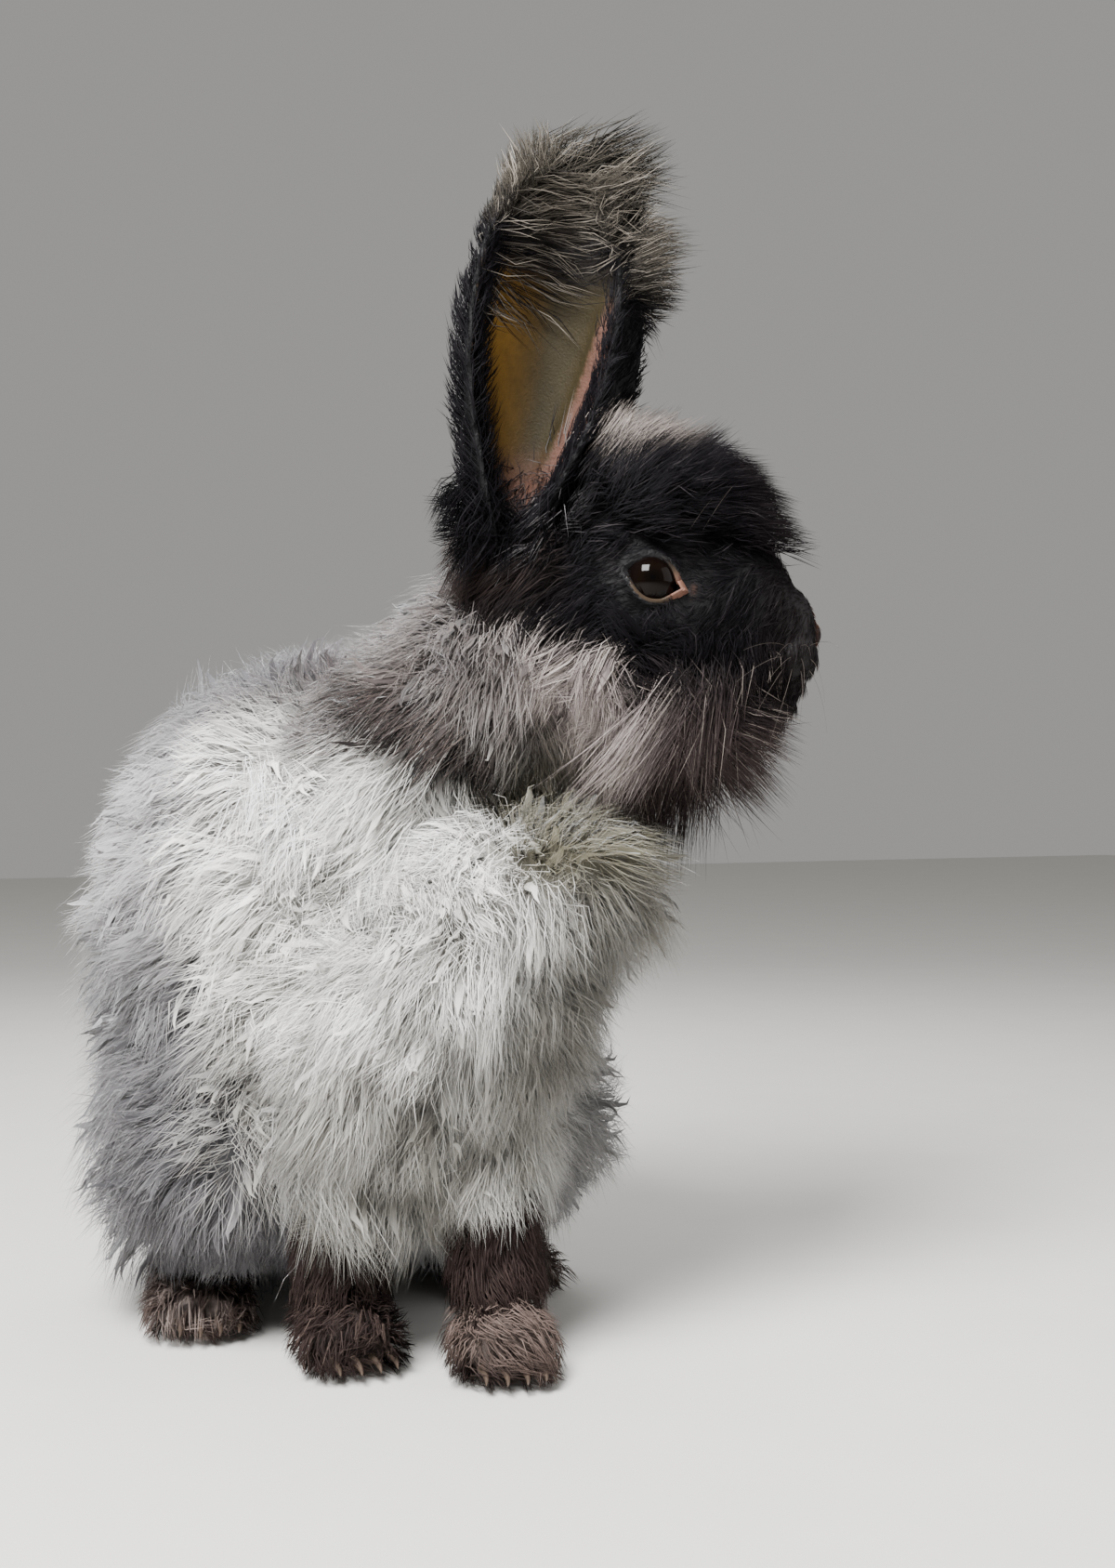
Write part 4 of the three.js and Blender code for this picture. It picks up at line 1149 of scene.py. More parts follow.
@dataclass
class Coat:
    """A piece of the coat: closed three-sided strands gathered into locks, over soft solids inside them."""

    skin: Skin
    growth: Growth
    steps: int = 9  # places along a lock's middle line
    lock_share: float = 0.3  # of the strands, that are tried as roots of locks
    body_shade: float = 0.8  # painted shade: brightness of the solids inside the locks against the strands
    body_strands: int = 10  # strands that a lock needs to get a solid
    sunk: float = 0.8  # mm that a root lies in the skin
    patch: float = 0.003  # of the bake map, for each strand

    def __post_init__(self) -> None:
        """Starts the growth's own random draws."""
        self.draw = np.random.default_rng(self.growth.seed)

    def scatter(self, count: int) -> Spots:
        """Draws spots on the skin, as thick as the growth says.

        Args:
            count: How many.

        Returns:
            The spots.
        """
        skin, draw = self.skin, self.draw
        weight = self.growth.where(skin.spots)
        corners = skin.spots.point[skin.triangles]
        across = np.cross(corners[:, 1] - corners[:, 0], corners[:, 2] - corners[:, 0])
        area = np.linalg.norm(across, axis=1) / 2
        chance = area * weight[skin.triangles].mean(axis=1)
        chosen = np.searchsorted(np.cumsum(chance) / chance.sum(), draw.random(count)).clip(0, len(area) - 1)
        a, b = draw.random((2, count))
        over = a + b > 1
        a, b = np.where(over, 1 - a, a), np.where(over, 1 - b, b)
        shares = np.stack([1 - a - b, a, b], -1)[..., None]

        def pick(values: np.ndarray) -> np.ndarray:
            """The values at the drawn spots, between those of the triangles' corners."""
            return (values[skin.triangles[chosen]] * shares).sum(axis=1)

        ear = skin.spots.ear[skin.triangles[chosen][:, 0]]
        return Spots(pick(skin.spots.point), unit(pick(skin.spots.out)), pick(skin.spots.parts), ear)

    def paths(self, spots: Spots, shares: np.ndarray, vary: float) -> np.ndarray:
        """The middle line of each strand or lock.

        Args:
            spots: Roots.
            shares: Shares of the length, one row a strand.
            vary: How much they differ in direction.

        Returns:
            Points at the shares.
        """
        growth, draw = self.growth, self.draw
        count = len(spots.point)
        eddy = 60  # mm between the turns of the lie
        flow = unit(growth.flow(spots)) + growth.swirl * wandering(spots.point, eddy)
        flow = unit(flow - spots.out * (flow * spots.out).sum(1, keepdims=True))
        lift = np.radians(growth.lift) * draw.normal(1, vary, (count, 1)).clip(0.4, 1.5)
        start = unit(flow * np.cos(lift) + spots.out * np.sin(lift))
        length = growth.length(spots) if callable(growth.length) else np.full(count, growth.length)
        length = length * draw.uniform(0.8, 1.15, count) * (1 + growth.lumps * ragged(spots.point, LUMP_SIZE))
        side = unit(np.cross(spots.out, start))
        start = unit(start + side * draw.normal(0, vary, (count, 1)))
        aside = side * draw.normal(0, growth.curl, (count, 1))
        bend = -spots.out * growth.layback - UP * growth.droop + aside
        line = shares[..., None]
        course = start[:, None] * line + bend[:, None] * line**2
        lines = spots.point[:, None] + length[:, None, None] * course
        return lines + draw.normal(0, 1, lines.shape) * growth.frizz * line

    def locks(self) -> tuple[Spots, np.ndarray]:
        """Sets the locks, which lean together in larger tufts.

        Returns:
            Their roots and their middle lines.
        """
        growth = self.growth
        roots = self.scatter(max(int(growth.count * self.lock_share), 60))
        roots = roots.at(self.thinned(roots.point, growth.clump))
        steps = np.linspace(0, 1, self.steps)
        courses = self.paths(roots, np.tile(steps, (len(roots.point), 1)), growth.unruly)
        if growth.tuft:
            leads = self.thinned(roots.point, growth.tuft)
            self.tufts = roots.point[leads]
            lead = courses[leads][nearest(self.tufts, roots.point)]
            courses = courses + (lead - courses) * growth.lean * (steps**1.4)[None, :, None]
        return roots, courses

    def from_tuft(self, points: np.ndarray) -> np.ndarray:
        """Where points lie from the middle of their larger tuft.

        Args:
            points: Body points.

        Returns:
            Their way from it, in halves of the tufts' spacing.
        """
        if not self.growth.tuft:
            return np.zeros_like(points)
        return (points - self.tufts[nearest(self.tufts, points)]) / (self.growth.tuft / 2)

    @staticmethod
    def thinned(points: np.ndarray, apart: float) -> np.ndarray:
        """Picks points so that no two share a cell.

        Args:
            points: Body points.
            apart: The wanted distance between them.

        Returns:
            The indices of those picked.
        """
        cell = apart * 0.85
        cells = np.floor(points / cell).astype(int)
        _, first = np.unique(cells, axis=0, return_index=True)
        return first

    def build(self) -> None:
        """Grows the locks and their strands and makes one mesh of them."""
        growth, draw = self.growth, self.draw
        self.spots = self.scatter(growth.count)
        count = len(self.spots.point)
        knees = np.array([0.48] if growth.rings == 2 else [])
        inner = knees + draw.uniform(-0.1, 0.1, (count, 1))
        shares = np.concatenate([np.zeros((count, 1)), inner, np.ones((count, 1))], 1)
        lines = self.paths(self.spots, shares, growth.stray)
        roots, courses = self.locks()
        self.lock_roots = roots.point
        jitter = draw.normal(0, growth.clump * 0.12, self.spots.point.shape)
        self.own = nearest(roots.point, self.spots.point + jitter)
        lines = self.gathered(lines, shares, courses[self.own])
        shorter = growth.dome * np.linalg.norm(self.from_tuft(self.spots.point), axis=1).clip(0, 1.2) ** 2
        lines = lines[:, :1] + (lines - lines[:, :1]) * (1 - shorter)[:, None, None]
        girth = np.array([0.75, 1.0] if growth.rings == 2 else [1.0])
        half = growth.width / 2 * draw.uniform(0.7, 1.3, (count, 1)) * girth
        parts = [self.solid(lines, half, self.spots, 3, 0.8, self.own)]
        if growth.body:
            swell = growth.clump * growth.body / 2 * np.array([1.0, 1.0, 0.75, 0.35])
            owners = np.flatnonzero(np.bincount(self.own, minlength=len(roots.point)) >= self.body_strands)
            size = draw.uniform(0.85, 1.2, (len(owners), 1))
            inside = courses[owners][:, [0, 2, 4, 5, 6]]
            parts.append(self.solid(inside, swell * size, roots.at(owners), 6, 0.6, owners))
            # painted shade on the solids inside the locks
            parts[-1]["bright"] *= self.body_shade
        self.assemble(parts)
        log.info("%s: %d strands, %d locks, %d faces", growth.name, count, len(roots.point), len(self.faces))

    def gathered(self, lines: np.ndarray, shares: np.ndarray, courses: np.ndarray) -> np.ndarray:
        """Draws strands together towards the middle line of the lock that each belongs to.

        Args:
            lines: The strands' lines.
            shares: The places along each, as shares of its length.
            courses: The middle line of each strand's lock.

        Returns:
            The new lines.
        """
        growth, draw = self.growth, self.draw
        place = shares * (self.steps - 1)
        index = np.clip(place.astype(int), 0, self.steps - 2)
        blend = (place - index)[..., None]
        rows = np.arange(len(lines))[:, None]
        middle = courses[rows, index] * (1 - blend) + courses[rows, index + 1] * blend
        pull = growth.gather * draw.uniform(0.7, 1.1, (len(lines), 1, 1)) * shares[..., None] ** 1.5
        return lines + (middle - lines) * pull

    def solid(
        self, lines: np.ndarray, half: np.ndarray, roots: Spots, sides: int, flat: float, owners: np.ndarray
    ) -> dict:
        """Tubes along lines with all that is stored on their points.

        Args:
            lines: Middle lines, from the skin to the tips.
            half: Half widths at each place but the tip.
            roots: Where they are rooted.
            sides: Sides of a section.
            flat: Thickness as a share of the width.
            owners: The lock that each belongs to.

        Returns:
            Points, faces, shading directions, lie, patch places, roots and brightness.
        """
        growth, draw = self.growth, self.draw
        count, places = lines.shape[:2]
        lines = lines.copy()
        lines[:, 0] -= unit(lines[:, 1] - lines[:, 0]) * self.sunk
        low = FLOOR_CLEARANCE + half.max(axis=1, keepdims=True) * flat + draw.uniform(0, 1.2, (count, 1))
        lines[..., 2] = np.maximum(lines[..., 2], low)
        points, facing, faces = spikes(lines, half, roots.out, sides, flat)
        own_turns = np.arange(sides) * 2 * math.pi / sides
        around = np.stack([np.cos(own_turns), np.sin(own_turns)], -1)
        share = np.linspace(0, 1, places)
        length = np.linalg.norm(lines[:, -1] - lines[:, 0], axis=1)
        wide = (half[..., None, None] * around).reshape(count, -1, 2)
        along = (length[:, None] * np.repeat(share[:-1], sides)[None])[..., None]
        lay = np.concatenate([wide, along], -1)
        tip = np.concatenate([np.zeros((count, 2)), length[:, None]], -1)
        lay = np.concatenate([lay, tip[:, None]], 1) + draw.uniform(0, 400, (count, 1, 3))
        rise = np.r_[np.repeat(share[:-1], sides), 1.0]
        off = self.from_tuft(roots.point)
        # painted shade at the edges of the larger tufts
        shade = 1 - growth.gap * ease(0.55, 1.15, np.linalg.norm(off, axis=1))
        # painted light on the swells of the lumps and painted shade in their hollows
        shade *= 1 + growth.lumps * 0.6 * ragged(roots.point, LUMP_SIZE)
        # darker roots and lighter tips: painted shade deep in the coat and painted light on its outside
        bright = np.interp(rise, [0, 0.5, 1], [growth.root, 1.0, growth.tip]) * shade[:, None]
        lean = (roots.point - self.lock_roots[owners]) / growth.clump
        soft = unit(roots.out + UP * 0.15 + lean * 0.5 + off * growth.dome * 2)[:, None]
        normals = unit(facing * (1 - growth.softness) + soft * growth.softness)
        patch = np.stack([np.r_[np.tile(np.arange(sides) / sides, places - 1), 0.5], rise], -1)
        return dict(
            points=points, faces=faces, normals=normals, lay=lay, bright=bright, rise=rise,
            patch=patch, roots=roots, owners=owners, tips=lines[:, -1],
        )

    def assemble(self, parts: list[dict]) -> None:
        """Makes the piece's mesh and stores the shading, the lie and the bake map on it.

        Args:
            parts: What solid gave.
        """
        points, faces, start = [], [], 0
        for part in parts:
            count, each = part["points"].shape[:2]
            first = start + np.arange(count) * each
            faces.append((part["faces"][None] + first[:, None, None]).reshape(-1, 3))
            points.append(part["points"].reshape(-1, 3))
            start += count * each
        self.parts = parts
        self.faces = np.vstack(faces)
        self.object = mesh_object(self.growth.name, self.skin.space.row(np.vstack(points)), self.faces)
        for name, key in (("custom_normal", "normals"), ("lay", "lay")):
            layer = self.object.data.attributes.new(name, "FLOAT_VECTOR", "POINT")
            stored = np.vstack([part[key].reshape(-1, 3) for part in parts])
            layer.data.foreach_set("vector", stored.astype(np.float32).ravel())
        self.unwrap()

    def unwrap(self) -> None:
        """Gives each strand a small patch at its root's place on an unwrap round the piece's own middle."""
        edge = 0.005  # of the map, left free
        middle = self.spots.point.mean(axis=0)
        floor, height = self.spots.point[:, 2].min() - 1, np.ptp(self.spots.point[:, 2]) + 2
        places = []
        for part in self.parts:
            root = part["roots"].point
            turn = np.arctan2(root[:, 0] - middle[0], root[:, 1] - middle[1]) / (2 * math.pi) + 0.5
            rise = ((root[:, 2] - floor) / height).clip(0, 1)
            corner = edge + (1 - 2 * edge - self.patch) * np.stack([turn, rise], -1)
            places.append((corner[:, None] + part["patch"][None] * self.patch).reshape(-1, 2))
        layer = self.object.data.uv_layers.new(name="OFBake")
        layer.data.foreach_set("uv", np.vstack(places)[self.faces.ravel()].astype(np.float32).ravel())

    def dress(self, markings: Markings, material: bpy.types.Material) -> None:
        """Paints the strands with the markings, lighter or darker strand by strand, and hands them over.

        Args:
            markings: The colours by place.
            material: What the strands are made of.
        """
        growth, draw = self.growth, self.draw
        lock_tone = draw.normal(1, growth.tone * 0.7, (self.own.max() + 1, 1)).clip(0.6, 1.5)
        painted = []
        for part in self.parts:
            roots = part["roots"]
            count = len(roots.point)
            weights = roots.parts
            if growth.dyed_as:
                weights = np.tile(np.eye(len(Part))[growth.dyed_as.value], (count, 1))
            ends = (roots.point, part["tips"])
            low, high = (markings.colour(Spots(at, roots.out, weights, roots.ear)) for at in ends)
            tone = draw.normal(1, growth.tone, (count, 1)).clip(0.5, 1.6)
            tone *= lock_tone[part["owners"] % len(lock_tone)]
            pale = draw.random((count, 1)) < growth.pale
            high = np.where(pale, linear(growth.pale_colour), high)
            rise = ease(0.05, 0.8, part["rise"])[None, :, None]
            colour = (low[:, None] * (1 - rise) + high[:, None] * rise) * tone[:, None]
            # the strands' painted shade and light, from solid
            painted.append(np.clip(colour * part["bright"][..., None], 0, 0.95).reshape(-1, 3))
        paint(self.object, "marking", np.vstack(painted))
        self.object.data.materials.append(material)
        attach(self.object, "root")


# How the coat lies


def torso_flow(spots: Spots) -> np.ndarray:
    """Back along the spine on top, and down with a little backwards on the sides."""
    top = ease(0.45, 0.85, spots.out[:, 2])[:, None]
    return np.array([0, 0.45, -1.0]) * (1 - top) + np.array([0, 1.0, -0.3]) * top


def chest_flow(spots: Spots) -> np.ndarray:
    """Down, and a little out to both sides."""
    x, top = spots.point[:, 0] - 8, ease(0.35, 0.8, spots.out[:, 2])
    return np.stack([x * 0.012 + 0.5 * top, -0.15 - 0.9 * top, np.full_like(x, -1.0)], -1)


def ruff_flow(spots: Spots) -> np.ndarray:
    """Back and down from the head."""
    return np.tile(head_way(-0.9, 0, -0.9), (len(spots.point), 1))


def toe_flow(spots: Spots) -> np.ndarray:
    """Down the legs and forwards over the feet."""
    low = ease(40, 15, spots.point[:, 2])[:, None]
    return np.array([0.0, -0.1, -1.0]) * (1 - low) + np.array([0.0, -1.0, -0.35]) * low


def cheek_flow(spots: Spots) -> np.ndarray:
    """Back, out and down."""
    return head_way(-0.55, np.sign(spots.head[:, 1]) * 0.3, -1.0)


def beard_flow(spots: Spots) -> np.ndarray:
    """Down, a little back, and out to both sides."""
    ahead, left, _ = spots.head.T
    return head_way(0.2 - 0.012 * ahead, left * 0.01, -np.ones_like(left))


def crown_flow(spots: Spots) -> np.ndarray:
    """Forwards over the forehead, parting to both sides and falling above the eyes."""
    ahead, left, up = spots.head.T
    return head_way(1.0, left * 0.03, 0.62 - 0.008 * ahead - 0.6 * ease(30, 14, up))


def temple_flow(spots: Spots) -> np.ndarray:
    """Back behind the eye, and down below it."""
    low = ease(0, -16, spots.head[:, 2])
    return head_way(-1 + 0.9 * low, spots.head[:, 1] * 0.01, -0.3 - 0.8 * low)


def face_flow(spots: Spots) -> np.ndarray:
    """Away from a place before the nose, and so down over the cheeks."""
    return unit(spots.head - np.array([74.0, 0, 2.0])) @ HEAD_AXES


def nape_flow(spots: Spots) -> np.ndarray:
    """Back and down behind the ears."""
    return head_way(-1.0, np.sign(spots.head[:, 1]) * 0.5, -0.6)


def ear_flow(spots: Spots) -> np.ndarray:
    """Up along the ear and out to its rims."""
    left = np.sign(spots.head[:, 1])
    return head_way(spots.ear[:, 1] * -left * 0.5, left * 0.1, np.ones_like(left))


def inner_flow(spots: Spots) -> np.ndarray:
    """Up inside the ear and towards its front edge."""
    return head_way(0.8, np.sign(spots.head[:, 1]) * 0.3, 0.7)


def across_flow(spots: Spots) -> np.ndarray:
    """Across the opening of the ear, from its rear rim forwards and a little down."""
    return head_way(1.0, np.sign(spots.head[:, 1]) * 0.5, -0.25)


def tip_flow(spots: Spots) -> np.ndarray:
    """Up over the ears' tips and towards the front.

    Args:
        spots: Roots of the hairs.

    Returns:
        A direction at each.
    """
    left = np.sign(spots.head[:, 1])
    front = spots.ear[:, 1] * -left
    return head_way(0.75 + 0.15 * front, left * 0.4, 0.75 - 0.6 * front)


# How long the coat is


def crown_length(spots: Spots) -> np.ndarray:
    """Longest between the ears, shorter on the brow and short above the eyes.

    Args:
        spots: Roots of the hairs.

    Returns:
        Millimetres at each.
    """
    ahead, _, up = spots.head.T
    high = ease(14, 32, up + ease(30, 48, ahead) * 14)
    return (33 - 11 * ease(22, 50, ahead)) * (0.45 + 0.55 * high)


def face_length(spots: Spots) -> np.ndarray:
    """Short round the eye and on the nose, longer on the bridge, the muzzle's sides and the cheeks."""
    near_eye = ease(14, 5, -lid_depth(spots.head))
    return (10 - 6.5 * ease(54, 66, spots.head[:, 0])) * (1 - 0.5 * near_eye)


def beard_length(spots: Spots) -> np.ndarray:
    """Longest under the middle of the jaw, short at the chin and towards the throat."""
    ahead = spots.head[:, 0]
    return 26 + 20 * ease(0, 20, ahead) - 37 * ease(24, 54, ahead)


def ear_length(spots: Spots) -> np.ndarray:
    """Short on the ears' backs and longer on their rear rims."""
    rear = spots.ear[:, 1] * np.sign(spots.head[:, 1])
    return 6.5 + 2.5 * ease(-0.4, 0.4, rear) + 7 * ease(0.5, 1, rear) * ease(0.7, 0.5, spots.ear[:, 0])


def tip_length(spots: Spots) -> np.ndarray:
    """Short on the rear side of the ears' tips and long on the front side.

    Args:
        spots: Roots of the hairs.

    Returns:
        Millimetres at each.
    """
    front = spots.ear[:, 1] * -np.sign(spots.head[:, 1])
    high = ease(0.76, 0.86, spots.ear[:, 0])
    return 9 + 12 * ease(-0.6, 0.5, front) * high + 15 * ease(0.86, 1, spots.ear[:, 0])


def body_length(spots: Spots) -> np.ndarray:
    """Long on the body, and shorter just over the hind feet."""
    low = ease(66, 36, spots.point[:, 2]) * ease(110, 90, spots.point[:, 1])
    return 33 - 16 * low


# Where the coat stands


def on_face(spots: Spots) -> np.ndarray:
    """The head outside the lids and the nose.

    Args:
        spots: Roots of the hairs.

    Returns:
        From 0 to 1 at each.
    """
    ahead, _, up = spots.head.T
    bare_corner = 2.2 * ease(5, 8, ahead - EYE_PLACE[0]) * ease(2, 0, up - EYE_PLACE[2])
    lids = ease(0.5, 1.4, -lid_depth(spots.head) - bare_corner)
    nose = 1 - ease(68, 69.5, ahead) * ease(-19, -15, up)
    return spots.part(Part.HEAD) * lids * nose


def crown_where(spots: Spots) -> np.ndarray:
    """The top of the head from between the ears to the brow.

    Args:
        spots: Roots of the hairs.

    Returns:
        From 0 to 1 at each.
    """
    ahead, _, up = spots.head.T
    off_ears = ease(0.12, 0.02, spots.part(Part.EAR))
    return on_face(spots) * off_ears * ease(15, 25, up + 5 * ragged(spots.point, 14)) * ease(57, 49, ahead)


def cheek_where(spots: Spots) -> np.ndarray:
    """The side of the head below and behind the eye."""
    ahead, _, up = spots.head.T
    return on_face(spots) * ease(-12, -21, up - ease(-5, -30, ahead) * 10) * ease(18, 6, ahead)


def beard_where(spots: Spots) -> np.ndarray:
    """The jaw and the front of the throat."""
    ahead, _, up = spots.head.T
    return on_face(spots) * ease(-14, -24, up) * ease(-8, 4, ahead) * ease(60, 52, ahead)


def temple_where(spots: Spots) -> np.ndarray:
    """Behind the eye and below it, where the black hair is longer.

    Args:
        spots: Roots of the hairs.

    Returns:
        From 0 to 1 at each.
    """
    ahead, _, up = spots.head.T
    clear = ease(4, 9, -lid_depth(spots.head))
    behind = ease(20, 12, ahead + up * 0.4) * ease(26, 16, up)
    below = ease(-8, -13, up) * ease(56, 46, ahead)
    return on_face(spots) * clear * np.maximum(behind, below) * ease(-36, -28, up)


def nape_where(spots: Spots) -> np.ndarray:
    """The back of the head round the ears' feet, and the ears' feet."""
    foot = spots.part(Part.EAR) * ease(0.2, 0.08, spots.ear[:, 0])
    return spots.part(Part.HEAD) * ease(-4, -14, spots.head[:, 0]) + foot


def ear_back_where(spots: Spots) -> np.ndarray:
    """The ears' backs and rims."""
    _, across, inner = spots.ear.T
    return spots.part(Part.EAR) * np.maximum(1 - inner, ease(0.72, 0.9, np.abs(across)))


def ear_inner_where(spots: Spots) -> np.ndarray:
    """The hair inside the ears, along both rims and wider towards the foot.

    Args:
        spots: Roots of the hairs.

    Returns:
        From 0 to 1 at each.
    """
    share, across, inner = spots.ear.T
    rear = across * np.sign(spots.head[:, 1])
    edge = 0.05 + 0.5 * np.clip(share / 0.6, 0, 1)
    before_fold = ease(0.08, 0.2, -rear - fold_place(share)) * ease(0.7, 0.5, share)
    rims = np.maximum(ease(edge, edge + 0.2, rear), before_fold)
    return spots.part(Part.EAR) * inner * rims * ease(0.9, 0.8, share)


def ear_top_where(spots: Spots) -> np.ndarray:
    """The inside of the ears' tips, where long wisps sweep across the opening.

    Args:
        spots: Roots of the hairs.

    Returns:
        From 0 to 1 at each.
    """
    share, across, inner = spots.ear.T
    rear = across * np.sign(spots.head[:, 1])
    return spots.part(Part.EAR) * inner * ease(0.6, 0.85, share + 0.12 * rear)


def ear_tip_where(spots: Spots) -> np.ndarray:
    """The upper quarter of the ears' backs and the rim of their tips.

    Args:
        spots: Roots of the hairs.

    Returns:
        From 0 to 1 at each.
    """
    share, across, inner = spots.ear.T
    outside = np.maximum(1 - inner, ease(0.6, 0.9, np.abs(across)))
    return spots.part(Part.EAR) * ease(0.7, 0.88, share) * outside


MIDDLE_OF_TORSO = 70  # mm along Y, where the body's wool is split in two pieces


def front_of_torso(spots: Spots) -> np.ndarray:
    """The part of the body's wool that is on its front half."""
    return spots.part(Part.TORSO, Part.HAUNCH) * (spots.point[:, 1] <= MIDDLE_OF_TORSO)


def back_of_torso(spots: Spots) -> np.ndarray:
    """The part of the body's wool that is on its rear half."""
    return spots.part(Part.TORSO, Part.HAUNCH, Part.TAIL) * (spots.point[:, 1] > MIDDLE_OF_TORSO)


def chest_where(spots: Spots) -> np.ndarray:
    """The chest, less thickly where the beard lies on it."""
    return spots.part(Part.CHEST) * (1 - 0.4 * ease(0.6, 0.9, spots.out[:, 2]))


def neck_where(spots: Spots) -> np.ndarray:
    """The neck."""
    return spots.part(Part.NECK)


def legs_where(spots: Spots) -> np.ndarray:
    """The legs and feet, less thickly under the soles."""
    return spots.part(Part.FORELEG, Part.FOREPAW, Part.HIND_FOOT) * ease(-0.95, -0.7, spots.out[:, 2])


def elbows_where(spots: Spots) -> np.ndarray:
    """The tops of the forelegs, where the chest's wool hangs over them."""
    return spots.part(Part.FORELEG) * ease(56, 64, spots.point[:, 2])


WOOL = dict(
    layback=0.26, droop=0.14, gather=0.6, lean=0.5, dome=0.34, gap=0.45, body=0.3, stray=0.3, unruly=0.3,
    curl=0.2, tone=0.03, swirl=0.45, lumps=0.2, frizz=1.1, softness=0.88, root=0.6, tip=1.02,
)
FRINGE = dict(slot="face", pale=0.06, root=0.6, unruly=0.4, frizz=0.7, curl=0.22)
BLACK_HAIR = dict(slot="face", pale_colour="#2d292b", curl=0.2)
GROWTHS = [
    Growth(
        "wool_front", front_of_torso, torso_flow, 16300, body_length, 0.28, 66, clump=9, tuft=20,
        seed=11, **WOOL,
    ),
    Growth("wool_rear", back_of_torso, torso_flow, 15600, 33, 0.3, 64, clump=11, tuft=22, seed=12, **WOOL),
    Growth("wool_chest", chest_where, chest_flow, 15500, 29, 0.26, 64, clump=9, tuft=18, seed=13, **WOOL),
    Growth("wool_ruff", neck_where, ruff_flow, 11500, 31, 0.3, 58, clump=8, tuft=18, seed=14, **WOOL),
    Growth(
        "wool_elbows", elbows_where, chest_flow, 3000, 25, 0.3, 52, clump=8, tuft=15, dyed_as=Part.CHEST,
        seed=24, **WOOL,
    ),
    Growth(
        "hair_legs", legs_where, toe_flow, 11500, 15, 0.4, 48, clump=6, swirl=0.4, stray=0.2, seed=15,
        slot="legs",
    ),
    Growth(
        "hair_face", on_face, face_flow, 17000, face_length, 0.34, 36, clump=4, gather=0.5, swirl=0.4,
        pale=0.12, rings=1, seed=16, **BLACK_HAIR,
    ),
    Growth(
        "hair_temples", temple_where, temple_flow, 7000, 13, 0.3, 42, clump=6, swirl=0.7, stray=0.28,
        pale=0.04, seed=25, **BLACK_HAIR,
    ),
    Growth(
        "hair_crown", crown_where, crown_flow, 10000, crown_length, 0.3, 54, layback=0.16, droop=0.08,
        clump=8, tuft=18, swirl=0.5, stray=0.28, unruly=0.35, pale=0.1, lumps=0.12, seed=17, **BLACK_HAIR,
    ),
    Growth(
        "hair_cheeks", cheek_where, cheek_flow, 8500, 29, 0.32, 58, clump=7, gather=0.85, tuft=14, lean=0.75,
        dome=0.45, gap=0.65, body=0.4, swirl=0.5, stray=0.22, seed=18, **FRINGE,
    ),
    Growth(
        "hair_beard", beard_where, beard_flow, 9500, beard_length, 0.32, 58, layback=0.2, droop=0.3, clump=9,
        gather=0.65, tuft=20, dome=0.25, gap=0.3, swirl=0.6, stray=0.3, seed=19, **FRINGE,
    ),
    Growth("hair_nape", nape_where, nape_flow, 4000, 24, 0.34, 50, clump=7, swirl=0.4, seed=22, slot="face"),
    Growth(
        "hair_ears", ear_back_where, ear_flow, 9500, ear_length, 0.34, 44, droop=0, clump=5, gather=0.45,
        stray=0.2, seed=20, slot="ears",
    ),
    Growth(
        "hair_in_ears", ear_inner_where, inner_flow, 3500, 10, 0.3, 40, droop=0, clump=4, gather=0.4, seed=23,
        dyed_as=Part.EAR, slot="ears",
    ),
    Growth(
        "hair_over_ears", ear_top_where, across_flow, 1200, 22, 0.24, 36, layback=0.1, droop=0.03, clump=7,
        gather=0.7, swirl=0.3, pale=0.35, pale_colour="#716a61", seed=26, slot="ears",
    ),
    Growth(
        "hair_ear_tips", ear_tip_where, tip_flow, 6000, tip_length, 0.3, 44, layback=0.12, droop=0.1, clump=7,
        tuft=16, swirl=0.5, stray=0.3, pale=0.16, pale_colour="#7f786f", seed=21, slot="ears",
    ),
]


@dataclass
class Eye:
    """A dark, wet eyeball with a brown iris."""

    side: str
    space: Space
    roughness: float = 0.06
    specular: float = 0.1  # low, so that the iris shows through the gloss
    stops: tuple[tuple[float, str], ...] = (  # metres from the middle of the pupil
        (0.0, "#020202"),
        (0.0038, "#040302"),
        (0.0048, "#24130a"),
        (0.0066, "#3a1f0f"),
        (0.0078, "#080505"),
    )

    def __post_init__(self) -> None:
        """Finds the eye's place."""
        self.middle = in_head(eye_middle(SIDES[self.side]))

    def build(self) -> None:
        """Makes the ball."""
        points, faces = ball((0, 0, 0), (EYE_RADIUS,) * 3)
        self.object = mesh_object(f"eyeball_{self.side}", self.space.row(points + self.middle), faces)

    def dress(self) -> None:
        """Gives the ball its iris, pupil and gloss."""
        made = bpy.data.materials.new(f"wet_eye_{self.side}")
        made.use_nodes = True
        tree = made.node_tree
        shader = tree.nodes["Principled BSDF"]
        place = node(tree, "ShaderNodeTexCoord").outputs["Object"]
        pupil = self.space.row(self.middle + head_way(0, SIDES[self.side], 0) * EYE_RADIUS)
        off = node(tree, "ShaderNodeVectorMath", {0: place, 1: Vector(pupil)}, operation="DISTANCE")
        ramp = node(tree, "ShaderNodeValToRGB", {"Fac": off.outputs["Value"]})
        set_stops(ramp.color_ramp, self.stops)
        tree.links.new(ramp.outputs["Color"], shader.inputs["Base Color"])
        shader.inputs["Roughness"].default_value = self.roughness
        shader.inputs["Specular IOR Level"].default_value = self.specular
        self.object.data.materials.append(made)
        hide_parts(f"eye_{self.side}")
        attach(self.object, "root")


